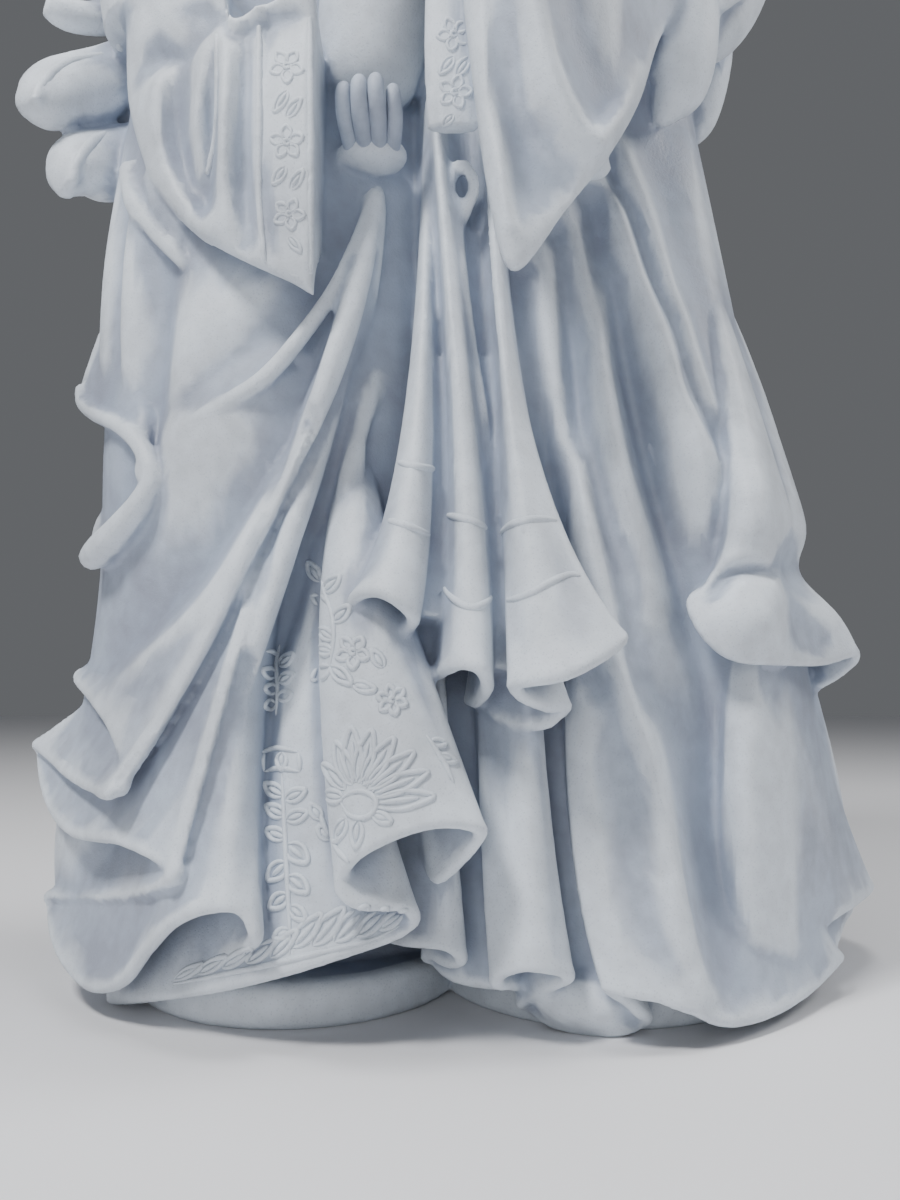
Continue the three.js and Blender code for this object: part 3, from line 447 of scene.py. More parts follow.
veilLobes = [
    [[-106, 6, 362, 11], [-122.5, 0, 356.5, 9], [-133, -8, 348.5, 6.5], [-142, -14, 346.5, 6],
     [-147.5, -18, 347.5, 4]],
    [[-106, 4, 336, 12], [-122, -2, 331.5, 12], [-131.5, -10, 321, 13.5], [-140.5, -18, 313, 13.5],
     [-144.5, -24, 306, 11],
     [-147.5, -27, 302, 7.2], [-148.5, -28, 300, 2.5]],
    [[-106, 4, 324, 10], [-118, 3, 319, 9], [-125, 1, 315, 6], [-129, 0, 313, 3]],
    [[-121.5, -4, 340.5, 3], [-131.5, -14, 330.5, 3], [-138, -21, 323.5, 3], [-142, -29, 312, 2.8],
     [-144, -33, 301.5, 2]],
    [[-104, 6, 302, 13], [-118.5, -2, 297.5, 13], [-127, -10, 290.5, 14], [-132.5, -18, 285.5, 12.5],
     [-135, -22, 279.5, 9], [-135.5, -24, 274.5, 5], [-135.5, -24, 271.5, 2]],
    [[-126.5, -4, 309, 3], [-130, -15, 297.5, 3], [-131, -26, 284.5, 2.8], [-132, -29, 274, 2.2]],
    [[-110, -34, 277.5, 4], [-104, -44, 260, 4.4], [-95.5, -50, 248, 3.8], [-87, -54, 237, 2.6],
     [-82, -52, 230, 0.8]],
    [[-99.5, -46, 268.5, 3], [-94, -51, 256, 3.2], [-87, -54, 245, 2.2], [-83, -52, 240, 0.8]],
]

# The father

robeCreases = [
    crease(11, [[41, 294, 3], [50, 272, 6], [58, 245, 9], [65, 222, 11], [72, 200, 12], [78, 180, 12],
                [82, 164, 9], [83, 148, 3],
                [82, 136, 0]]),
    crease(3.5, [[48, 290, -2], [54, 272, -5], [61, 255, -7], [67, 232, -8], [73, 214, -8], [79, 191, -8],
                 [86, 175, -3]]),
    crease(5, [[53, 296, 2], [61, 272, 3], [66, 255, 4], [70, 236, 4], [76, 209, 4], [82, 190, 2]]),
    crease(7, [[37, 255, 3], [40, 242, 5], [44, 222, 7], [48, 193, 7], [52, 171, 6], [58, 152, 5],
               [66, 134, 2]]),
    crease(7, [[30, 239, 3], [32, 213, 5], [35, 183, 6], [39, 161, 6], [44, 139, 5], [50, 114, 6],
               [56, 83, 6],
               [60, 50, 6], [66, 17, 2]]),
    crease(6, [[48, 259, -6], [53, 236, -10], [57, 209, -12], [62, 180, -12], [67, 152, -11],
               [72, 129, -8], [79, 102, -5],
               [82, 72, -5], [81, 36, -3]]),
    crease(4, [[46, 108, 3], [52, 95, 4], [56, 84, 5], [61, 66, 5], [65, 39, 5], [71, 16, 3]]),
    crease(9, [[67, 114, -3], [72, 89, -5], [74, 66, -6], [75, 42, -5], [78, 22, -3]]),
    crease(4.5, [[35, 247, -4], [39, 219, -5], [42, 190, -6], [45, 164, -6], [50, 139, -5], [54, 114, -4],
                 [57, 92, -2]]),
    crease(4.5, [[25, 232, -3], [27, 209, -4], [30, 177, -5], [35, 155, -4], [42, 126, -3], [44, 100, -3]]),
    crease(7, [[22, 130, 0], [22, 100, 4], [22, 62, 5], [23, 30, 3], [24, 12, 0]]),
]
father = {
    "body": [
        [10, 52, 6, 72, 48, 0.6], [50, 51, 7, 74, 50, 1], [97, 49, 8, 69, 50, 1], [140, 48, 8, 67, 50, 0.9],
        [170, 48, 8, 66, 50, 0.8], [204, 46, 7, 60, 48, 0.7], [245, 42, 5, 54, 45, 0.5],
        [290, 40, 0, 47, 44, 0.3], [335, 42, 0, 54, 42, 0], [380, 44, 1, 57, 41, 0],
        [425, 46, 2, 60, 39, 0], [460, 47, 3, 58, 34, 0], [480, 48, 4, 44, 27, 0], [492, 50, 3, 24, 20, 0],
        [535, 53, -2, 18, 19, 0],
    ],
    "bodyCreases": [
        crease(6, [[16, 474, 0], [26, 444, 4], [38, 416, 4], [50, 396, 0]]),
        crease(6, [[84, 474, 0], [78, 444, 4], [68, 418, 4], [54, 396, 0]]),
        crease(6, [[20, 456, 0], [32, 420, -4], [44, 392, -3], [50, 376, 0]]),
        crease(7, [[48, 388, 0], [50, 345, 5], [46, 300, 4]]),
        crease(6, [[64, 404, 0], [68, 364, 5], [66, 310, 4]]),
        crease(6, [[57, 394, 0], [59, 354, -4], [56, 310, -3]]),
        crease(6, [[22, 400, 0], [26, 365, 4], [24, 320, 4]]),
    ],
    "collar": [
        [26, -8, 488, 3], [35, -19, 480, 3.6], [44, -26, 468, 3.8], [49, -29, 460, 3.8],
        [55, -27, 468, 3.8], [64, -21, 480, 3.6], [73, -9, 488, 3],
    ],
    "sleeve": [
        [112, -20, 0, 380, 352], [102, -40, 6, 392, 338], [88, -46, 2, 394, 326], [72, -54, -10, 394, 318],
        [60, -68, -22, 394, 284], [48, -86, -34, 392, 258], [34, -95, -46, 388, 237],
        [18, -100, -56, 384, 216], [11, -96, -58, 382, 240], [4, -92, -60, 382, 300],
    ],
    "sleeveCreases": [
        crease(3, [[9, 298, 2], [10, 273, 3], [13, 248, 3], [16, 228, 2]]),
        crease(6, [[16, 310, -2], [17, 291, -4], [18, 267, -6], [22, 245, -5], [21, 233, -2]]),
        crease(6, [[22, 330, 3], [23, 304, 4], [26, 285, 5], [31, 270, 6], [37, 259, 6], [42, 254, 4]]),
        crease(9, [[36, 330, 0], [37, 300, -3], [41, 282, -4], [47, 270, -3], [53, 264, 0]]),
        crease(4, [[60, 291, 3], [55, 276, 5], [48, 263, 5], [44, 254, 4]]),
        crease(6, [[25, 257, -3], [31, 245, -4], [28, 239, -2]]),
    ],
    "knob": {"centre": [43, -77, 255.5], "halves": [5.5, 5, 3.6]},
    "toe": {"centre": [41, -68, 10], "halves": [17, 11, 9.5]},
    "cuffPanel": [[3, -60, 352, 2], [1, -69, 340, 7], [1, -73, 300, 9], [1, -74, 269, 8]],
    "upperArm": [
        [84, 2, 474, 13], [98, -2, 438, 24], [102, -8, 400, 24], [101, -14, 362, 18], [94, -22, 336, 12],
        [84, -26, 322, 5],
    ],
    "reach": [
        [36, 6, 462, 14], [18, 12, 461, 21], [-4, 20, 456, 23], [-36, 34, 442, 19], [-78, 32, 424, 16],
        [-106, 12, 408, 10],
    ],
    "head": {"centre": [54, -8, 560], "height": 76, "turn": -0.4, "nod": 0.2},
    "hair": [
        {"centre": [56.5, -1.5, 573.5], "halves": [29, 34, 25], "locks": 13, "twist": 7, "lockDepth": 0.05},
        {"centre": [58, 7, 548], "halves": [28.5, 23, 33], "locks": 15, "twist": 3, "lockDepth": 0.05},
    ],
    "beard": [
        {"centre": [50.5, -14, 531], "halves": [22.5, 18.5, 20], "locks": 11, "twist": 3, "lockDepth": 0.05},
        {"centre": [45.5, -26, 518], "halves": [13.5, 11, 17], "locks": 9, "twist": 2, "lockDepth": 0.06},
    ],
    "moustache": [
        [52.5, -34, 534.5, 1.2], [48, -36, 539.5, 2.2], [43, -36, 541.5, 2.5], [38.5, -33, 539, 2.2],
        [34.5, -29, 534.5, 1.2],
    ],
}
robe = {
    "hem": [
        [-24, -50, 24.5], [-15.5, -67, 25.5], [-8, -74, 26.5], [-0.5, -78, 26.5], [5, -75, 23],
        [2.5, -69, 20], [-1, -63, 19.5], [-4, -58, 20], [-5.5, -55, 17.5], [-3.5, -58, 15],
        [1.5, -63, 13.5], [9, -66, 13], [17.5, -68, 13], [15.5, -72, 14.5], [13.5, -76, 15.5],
        [12, -79, 16.5], [11, -81, 18], [14, -85, 21.5], [19.5, -88, 24], [27.5, -88, 23.5],
        [34.5, -84, 20.5], [31.5, -78, 17], [27.5, -72, 13.5], [24.5, -67, 9.5], [22.5, -64, 6.5],
        [28.5, -69, 3], [38.5, -73, 2], [49, -75, 2.5], [54.5, -74, 4.5], [51, -78, 9], [47, -81, 13],
        [43.5, -83, 15.5], [41.5, -85, 17.5], [48.5, -89, 17], [57, -89, 16], [66, -87, 12.5],
        [75.5, -83, 8], [87, -75, 6], [101.5, -62, 6.5], [116, -46, 8.5], [127, -34, 12.5], [130, -20, 11],
        [136.5, -6, 12.5], [144, 8, 15], [151, 20, 16.5], [153, 28, 19], [154.5, 36, 21], [154.5, 44, 22.5],
        [152, 50, 24],
    ],
    "middle": [
        [-17.5, -50, 127], [-11, -58, 126], [-3, -62, 126], [-3.5, -57, 126.5], [-4.5, -53, 126.5],
        [-0.5, -54, 126.5], [5.5, -56, 126.5], [7, -58, 126], [9, -61, 126], [16.5, -67, 125.5],
        [25.5, -66, 125.5], [27, -60, 126], [28, -56, 126.5], [33, -56, 126.5], [36.5, -57, 126.5],
        [35.5, -60, 126], [35.5, -63, 126], [41, -68, 125.5], [58, -64, 126], [73.5, -58, 126.5],
        [84.5, -54, 127], [101.5, -44, 127.5], [117, -22, 129], [124, -2, 131], [122, 24, 138],
    ],
    "top": [
        [-17, -36, 252.5], [-6.5, -40, 259.5], [6.5, -43, 262.5], [23, -44, 266], [39, -44, 284],
        [58, -37, 306], [71, -29, 320], [84, -14, 328], [88, 2, 334],
    ],
    "creases": robeCreases,
}
# The robe's second layer at his side, over the first
overSkirt = {
    "hem": [
        [80.5, -38, 44.5], [80.5, -48, 41], [80.5, -56, 38], [81, -61, 36], [82.5, -64, 33],
        [84.5, -67, 29], [88.5, -68, 25], [96.5, -63, 20.5], [105.5, -55, 18], [114.5, -43, 21],
        [126, -30, 24], [140, -14, 26], [152.5, 4, 27.5], [156.5, 16, 27.5], [158, 28, 27.5],
        [156.5, 36, 28], [154, 44, 28],
    ],
    "middle": [
        [83.5, -40, 84], [83.5, -52, 84.5], [85, -61, 85], [90.5, -65, 85], [102.5, -56, 84.5],
        [117, -36, 83.5], [131.5, -8, 82.5], [137, 12, 81.5], [138.5, 30, 80.5],
    ],
    "top": [
        [82, -40, 141], [90, -46, 140], [102.5, -42, 140.5], [116.5, -24, 143], [125, 0, 145.5],
        [127, 24, 148.5],
    ],
}
tunicPleats = {
    "hem": [
        [-20.5, -58, 127], [-21, -62, 122], [-23.5, -68, 119], [-27, -76, 121], [-29, -82, 124.5],
        [-26, -88, 127], [-20.5, -93, 127], [-14, -94, 124], [-8.5, -89, 119], [-10.5, -82, 115.5],
        [-12, -77, 111.5], [-11, -73, 107.5], [-6.5, -73, 104], [-2.5, -86, 105], [3, -98, 106.5],
        [9, -99, 105.5], [12, -91, 100.5], [11.5, -85, 98], [10.5, -79, 96.5], [9, -73, 95],
        [7.5, -68, 95.5], [12.5, -74, 92], [19.5, -80, 89.5], [27, -84, 90], [31, -84, 93.5],
        [27, -88, 93.5], [22, -91, 95], [18, -94, 97], [15.5, -97, 100.5], [21, -104, 102],
        [29.5, -107, 103.5], [39, -105, 108], [47.5, -99, 114], [45, -90, 112.5], [41.5, -80, 112.5],
        [37.5, -70, 113.5], [33.5, -62, 115],
    ],
    "middle": [
        [-12, -56, 183.5], [-13.5, -60, 182.5], [-14.5, -67, 180.5], [-10, -77, 178], [-5, -71, 179.5],
        [-4, -63, 181.5], [-2.5, -60, 182], [2.5, -79, 177.5], [8.5, -72, 179.5], [10.5, -64, 181.5],
        [11.5, -60, 182.5], [12, -59, 183], [12.8, -60, 182.5], [13.5, -64, 181.5], [14.5, -68, 180.5],
        [18, -81, 177], [23.5, -75, 178.5], [24.5, -64, 181.5], [24, -54, 184],
    ],
    "creases": [crease(2.4, [[-5.5, 292, 0], [-5, 270, 3], [-3.5, 243, 3], [0, 210, 2], [4, 180, 0]])],
    "top": [
        [-9, -38, 290], [-9, -44, 290], [-8, -52, 292], [-5.5, -60, 294.5], [-1, -52, 294], [7, -50, 291],
        [13, -56, 285.5], [15, -48, 283],
    ],
}
# Plain fillings behind the deepest valleys
valleyFillings = [
    [[39, -62, 8, 9], [39, -62, 25, 10], [37.5, -58, 64, 11], [35, -50, 114, 10]],
    [[10, -54, 20, 8], [9, -52, 60, 9], [8, -48, 110, 9]],
    [[9, -52, 200, 11], [12, -62, 152, 11], [12.5, -74, 118, 8], [12.5, -77, 104, 5]],
    [[-3, -54, 200, 9], [-4, -64, 150, 9], [-6, -74, 118, 7]],
]
# A thin fold and the small loop it hangs from
loopFold = [
    [[3.8, -58, 249.5, 1.8], [2.5, -61, 242, 2.2], [3.4, -64, 226, 2.4], [6.2, -66, 203, 2.4],
     [9.5, -69, 182, 2.2],
     [12, -69, 162, 1.4]],
    [[3.8, -60, 265.5, 2], [0.8, -61, 261, 1.9], [0.2, -61, 256, 1.9], [1.8, -61, 251.5, 2],
     [3.8, -60, 247, 2]],
    [[3.8, -60, 265.5, 2], [6.8, -61, 261, 1.9], [7.4, -61, 256, 1.9], [5.8, -61, 251.5, 2],
     [3.8, -60, 247, 2]],
]
# Fills the hollow between his body and the robe's side, seen from behind
sideFilling = [[119, 12, 22, 27], [117, 11, 60, 26], [110, 9, 110, 21], [102, 7, 150, 16], [95, 5, 205, 10]]
tunicBacking = [[2, -36, 306, 13], [3, -38, 240, 15], [5, -38, 190, 17], [6, -36, 150, 15]]
cloakFlare = {
    "hem": [
        [81.5, -50, 131.5], [78.5, -54, 130.5], [76, -58, 129], [74, -61, 127.5], [73, -63, 125],
        [75, -68, 117], [79, -70, 112], [83.5, -70, 109], [89.5, -68, 107.5], [100, -61, 107.5],
        [112, -51, 108], [126, -37, 109], [140.5, -21, 111.5], [140, -13, 107.5], [137, -5, 103],
        [133.5, 2, 99.5], [130, 8, 95.5],
    ],
    "middle": [
        [87, -48, 168.5], [87, -54, 168], [89, -58, 168], [93.5, -58, 168.5], [99.5, -53, 169.5],
        [106.5, -43, 171.5], [115, -28, 173], [121, -14, 175.5], [124.5, -2, 177],
    ],
    "top": [[80, -24, 268], [83, -20, 270], [86, -14, 273], [88, -7, 276], [88, 4, 280]],
    "pinch": {"height": 138, "depth": 9, "reach": 11, "from": 96, "to": 120},
    "creases": [
        crease(2.4, [[78, 126, -2], [81, 129, -5], [86, 134, -6], [93, 135, -6], [100, 135, -6],
                     [107, 138, -5]]),
        crease(8, [[81, 120, 2], [91, 118, 4], [98, 123, 3]]),
        crease(7, [[109, 129, -2], [112, 120, -6], [118, 114, -4]]),
        crease(9, [[94, 172, 2], [95, 160, 5], [96, 148, 4], [96, 142, 0]]),
    ],
}
cloakMasses = [
    [[80, -30, 380, 14], [80, -36, 330, 13], [78, -38, 306, 11], [74, -38, 296, 6], [71, -37, 291, 2]],
    [[96, 4, 400, 12], [97, 2, 360, 11], [97, 0, 336, 10], [93, 0, 314, 8], [89, 0, 304, 3]],
]

child = {
    "swaddling": [
        [-27, -46, 290, 8], [-27, -46, 298, 15], [-26, -46, 314, 18.5], [-21, -46, 348, 21],
        [-15, -45, 382, 20], [-13, -42, 412, 10],
    ],
    "arm": [[-22, -54, 392, 7], [-36, -54, 384, 6], [-46, -44, 396, 4]],
    "head": {"centre": [-14, -46, 428], "height": 46, "turn": -0.15, "nod": 0.1},
    "hair": [
        {"centre": [-13.5, -42, 437], "halves": [17, 19.8, 15.5], "locks": 11, "twist": 6, "lockDepth": 0.05},
        {"centre": [-13, -36, 427], "halves": [17.2, 15, 18], "locks": 11, "twist": 3},
    ],
}

# The mother's hand under the child, and the father's two
hands = {
    "palm": {"centre": [-25.2, -53, 271.5], "halves": [11.3, 9.5, 5.8]},
    "wrist": [[-54, -40, 278, 9], [-32, -48, 268, 8]],
    "onChild": {"wrist": [12, -74, 368], "palm": [-8, -70, 366], "reach": [-1, 0, 0.1], "spread": [0, 0, 5],
                "lengths": [19, 22, 23, 20], "curl": [-2, 9, 0]},
    "onShoulder": {"wrist": [-104, 12, 410], "palm": [-110, -12, 408], "reach": [0.1, -1, -0.1],
                   "spread": [0, 0, 5], "lengths": [15, 18, 19, 17], "curl": [5, 0, -2]},
}
fingersUnderChild = [
    [[-31.6, -58, 272, 2.6], [-32.8, -66, 276.5, 2.7], [-33.2, -69.5, 281, 2.5], [-33, -69, 285, 2.3],
     [-32.6, -66.5, 287, 1.1]],
    [[-27, -60, 272, 2.7], [-27.8, -68.5, 276.5, 2.8], [-28.1, -72, 282, 2.6], [-28.1, -71, 286, 2.4],
     [-28, -68, 288.2, 1.1]],
    [[-22.6, -60, 272, 2.7], [-22.5, -68.5, 277, 2.8], [-22.8, -72, 282, 2.6], [-23, -71, 286.5, 2.4],
     [-23, -68, 288.7, 1.1]],
    [[-18.5, -58, 272, 2.6], [-17.4, -65, 276.5, 2.6], [-17.5, -68.5, 281.5, 2.4], [-17.8, -68, 285, 2.2],
     [-18, -65.5, 287, 1.1]],
]

# The plinth: two round lobes

plinth = {"thickness": 14, "halfWidth": 56, "halfDepth": 64, "spacing": 102, "back": -6, "edgeRound": 4}


def plinthLobe(side):
    turn = fullTurn(160)
    bend = np.linspace(0, np.pi / 2, 7)
    edge = plinth["edgeRound"]
    inset = [edge / 2, 0, *(edge * (1 - np.cos(bend)))]
    height = [0, edge / 2, *(plinth["thickness"] - edge * (1 - np.sin(bend)))]
    rings = [np.stack([side * plinth["spacing"] / 2 + (plinth["halfWidth"] - i) * np.cos(turn),
                       plinth["back"] + (plinth["halfDepth"] - i) * np.sin(turn),
                       np.full(turn.shape, float(h))], axis=-1) for i, h in zip(inset, height)]
    return ringShell(np.array(rings))


# One casting of all of it

def motherShells():
    return [
        column(mother["body"], mother["bodyCreases"]),
        roll(mother["fanFold"]),
        *cloth(**mantle, columns=1400),
        *cloth(**sideWave["upper"], columns=160, levels=60),
        *cloth(**sideWave["inner"], columns=160, levels=60),
        roll(sideWave["rim"], levels=120),
        roll(mother["recessFold"], flat=0.7),
        *[roll(lobe, flat=0.8) for lobe in veilLobes],
        sleeve(mother["sleeve"], mother["sleeveCreases"]),
        roll(mother["upperArm"], around=80),
        roll(mother["forearm"], around=60),
        column(mother["hood"], mother["hoodCreases"], levels=200, around=240),
        roll(mother["veilEdge"], levels=200),
        head(**mother["head"]),
    ]


def fatherShells():
    return [
        column(father["body"], father["bodyCreases"]),
        roll(father["collar"], levels=120),
        *cloth(**robe, columns=1000, levels=200),
        *cloth(**overSkirt, columns=500),
        *cloth(**tunicPleats, columns=900, levels=200),
        roll(tunicBacking, around=60),
        *[roll(path, around=60) for path in valleyFillings],
        *[roll(path, around=24) for path in loopFold],
        roll(sideFilling, around=120, levels=120),
        mass(**father["toe"], around=80, levels=50),
        *cloth(**cloakFlare, columns=300),
        *[roll(path, around=60) for path in cloakMasses],
        sleeve(father["sleeve"], father["sleeveCreases"]),
        mass(**father["knob"], around=40, levels=24),
        roll(father["cuffPanel"], flat=0.4),
        roll(father["upperArm"], around=80),
        roll(father["reach"], around=60, out=(0, 1, 0)),
        head(**father["head"]),
        *[mass(**lump) for lump in father["hair"] + father["beard"]],
        roll(father["moustache"]),
    ]


def childShells():
    return [
        roll(child["swaddling"], around=80, levels=80),
        roll(child["arm"]),
        head(**child["head"]),
        *[mass(**lump) for lump in child["hair"]],
        mass(**hands["palm"], around=60, levels=36),
        roll(hands["wrist"], levels=12),
        *hand(**hands["onChild"]),
        *hand(**hands["onShoulder"]),
    ]


# From here on, lengths are in metres
casting = {"voxel": 0.0011, "softness": 0.5, "smoothing": 2, "triangles": 190000}


def meshOf(name, shells):
    points, faces, first = [], [], 0
    for shellPoints, shellFaces in shells:
        points.append(shellPoints)
        faces += [[n + first for n in face] for face in shellFaces]
        first += len(shellPoints)
    mesh = bpy.data.meshes.new(name)
    mesh.from_pydata((np.vstack(points) * 0.001).tolist(), [], faces)
    mesh.update()
    return mesh


def objectOf(name, mesh):
    item = bpy.data.objects.new(name, mesh)
    bpy.context.scene.collection.objects.link(item)
    return item


def smoothed(item):
    for face in item.data.polygons:
        face.use_smooth = True


def withModifiers(item):  # leaves the object's mesh as its modifiers make it
    depsgraph = bpy.context.evaluated_depsgraph_get()
    mesh = bpy.data.meshes.new_from_object(item.evaluated_get(depsgraph))
    item.modifiers.clear()
    old, item.data = item.data, mesh
    bpy.data.meshes.remove(old)


def castInOne():
    shells = [*motherShells(), *fatherShells(), *childShells(), plinthLobe(-1), plinthLobe(1)]
    stage(f"{sum(len(f) for _, f in shells)} faces drawn")
    cast = objectOf("holy_family_cast", meshOf("holy_family_cast", shells))
    joining = cast.modifiers.new("join", "REMESH")
    joining.mode = "VOXEL"
    joining.voxel_size = casting["voxel"]
    joining.use_smooth_shade = True
    softening = cast.modifiers.new("soften", "SMOOTH")
    softening.factor = casting["softness"]
    softening.iterations = casting["smoothing"]
    withModifiers(cast)
    stage(f"joined into {len(cast.data.polygons)} faces")
    thinning = cast.modifiers.new("thin", "DECIMATE")
    thinning.ratio = casting["triangles"] / (2 * len(cast.data.polygons))
    withModifiers(cast)
    stage(f"thinned to {len(cast.data.polygons)} triangles")
    for point in cast.data.vertices:
        point.co.z = max(point.co.z, 0)
    smoothed(cast)
    return cast


cast = castInOne()

# Painted shade in the hollows and a painted highlight on the edges, kept on the mesh as masks for the stone's
# colour

paintedLightMasks = {"valleyRounds": 70, "valleyDepth": 0.0034, "edgeRounds": 5, "edgeHeight": 0.00022, "blurRounds": 3}


def markPaintedShadeAndHighlight(mesh):
    count = len(mesh.vertices)
    place = np.empty(count * 3)
    normal = np.empty(count * 3)
    mesh.vertices.foreach_get("co", place)
    mesh.vertex_normals.foreach_get("vector", normal)
    place, normal = place.reshape(-1, 3), normal.reshape(-1, 3)
    edges = np.empty(len(mesh.edges) * 2, dtype=np.int64)
    mesh.edges.foreach_get("vertices", edges)
    one, two = edges.reshape(-1, 2).T
    start, end = np.concatenate([one, two]), np.concatenate([two, one])
    neighbours = np.maximum(np.bincount(start, minlength=count), 1)

    def spread(values, rounds):
        for _ in range(rounds):
            values = np.stack([np.bincount(start, weights=column[end], minlength=count) / neighbours
                               for column in values.T], axis=-1)
        return values

    # broad is how far the surface lies below its smoothed self: the valley mask, for painted shade in
    # hollows. fine is how far it stands out: the edge mask, for a painted highlight on edges.
    broad = ((spread(place, paintedLightMasks["valleyRounds"]) - place) * normal).sum(axis=1, keepdims=True)
    fine = ((spread(place, paintedLightMasks["edgeRounds"]) - place) * normal).sum(axis=1, keepdims=True)
    for name, values in (("paintedShadeMask", broad / paintedLightMasks["valleyDepth"]), ("edge", -fine / paintedLightMasks["edgeHeight"])):
        values = np.clip(spread(values, paintedLightMasks["blurRounds"])[:, 0], 0, 1)
        mesh.attributes.new(name, "FLOAT", "POINT").data.foreach_set("value", values.astype(np.float32))


markPaintedShadeAndHighlight(cast.data)
stage("hollows marked")


# Nodes

def node(tree, kind, values=None, **settings):  # a node with its settings, then the values of its inputs
    made = tree.nodes.new(kind)
    for name, setting in settings.items():
        setattr(made, name, setting)
    for socket, value in (values or {}).items():
        made.inputs[socket].default_value = value
    return made


def link(tree, *rows):  # rows of (node, its output, node, its input)
    for source, socket, target, name in rows:
        tree.links.new(source.outputs[socket], target.inputs[name])


def nodeGroup(name, inputs, outputs, kind="ShaderNodeTree"):  # inputs and outputs: {name: kind of socket}
    group = bpy.data.node_groups.new(name, kind)
    for way, sockets in (("INPUT", inputs), ("OUTPUT", outputs)):
        for title, socket in sockets.items():
            group.interface.new_socket(title, in_out=way, socket_type="NodeSocket" + socket)
    return group, node(group, "NodeGroupInput"), node(group, "NodeGroupOutput")


# Marble

# The shade colour is painted shade, laid in the hollows and in the pits of the grain; the crest colour is a
# painted highlight, laid on edges and on the relief rods. Lilac and the two tones are clouds of the stone's
# own colour.
marbleLook = {
    "stone": (0.425, 0.48, 0.57, 1), "paintedShadeColour": (0.32, 0.37, 0.465, 1), "crest": (0.74, 0.79, 0.84, 1),
    "lilac": (0.325, 0.345, 0.43, 1), "lilacShare": 0.55, "paintedHighlightShare": 0.75, "pitShadeShare": 0.26,
    "clouds": 26.0, "smallClouds": 7, "smallCloudShare": 0.45, "tones": (0.84, 1.08),
    "grain": 950.0, "pits": (0.12, 0.3), "pitShare": 0.5, "bump": 0.24, "bumpDistance": 0.0006,
    "roughness": (0.42, 0.62), "specular": 0.4,
    "depth": {"Subsurface Weight": 0.08, "Subsurface Radius": (1.0, 0.95, 0.9), "Subsurface Scale": 0.003},
}


def cloudiness():  # soft clouds of tone at two scales
    group, given, result = nodeGroup("stoneClouds", {"Place": "Vector", "Size": "Float"}, {"Tone": "Float"})
    broad = node(group, "ShaderNodeTexNoise", {"Detail": 3})
    finer = node(group, "ShaderNodeMath", {1: marbleLook["smallClouds"]}, operation="MULTIPLY")
    small = node(group, "ShaderNodeTexNoise", {"Detail": 4})
    both = node(group, "ShaderNodeMath", {1: marbleLook["smallCloudShare"]}, operation="MULTIPLY_ADD")
    link(group, (given, "Place", broad, "Vector"), (given, "Size", broad, "Scale"),
         (given, "Place", small, "Vector"), (given, "Size", finer, 0), (finer, 0, small, "Scale"),
         (small, 0, both, 0), (broad, 0, both, 2), (both, 0, result, "Tone"))
    return group


def sandiness():  # fine grain with scattered pits; the pits also mask painted shade in them
    group, given, result = nodeGroup("stoneGrain", {"Place": "Vector", "Grain": "Float"},
                                     {"Height": "Float", "PitShade": "Float"})
    grain = node(group, "ShaderNodeTexNoise", {"Detail": 3})
    cells = node(group, "ShaderNodeTexVoronoi")
    near, far = marbleLook["pits"]
    pit = node(group, "ShaderNodeMapRange", {"From Min": near, "From Max": far})
    level = node(group, "ShaderNodeMath", {1: marbleLook["pitShare"]}, operation="MULTIPLY_ADD")
    link(group, (given, "Place", grain, "Vector"), (given, "Grain", grain, "Scale"),
         (given, "Place", cells, "Vector"), (given, "Grain", cells, "Scale"),
         (cells, "Distance", pit, "Value"), (pit, "Result", level, 0), (grain, 0, level, 2),
         (level, 0, result, "Height"), (pit, "Result", result, "PitShade"))
    return group


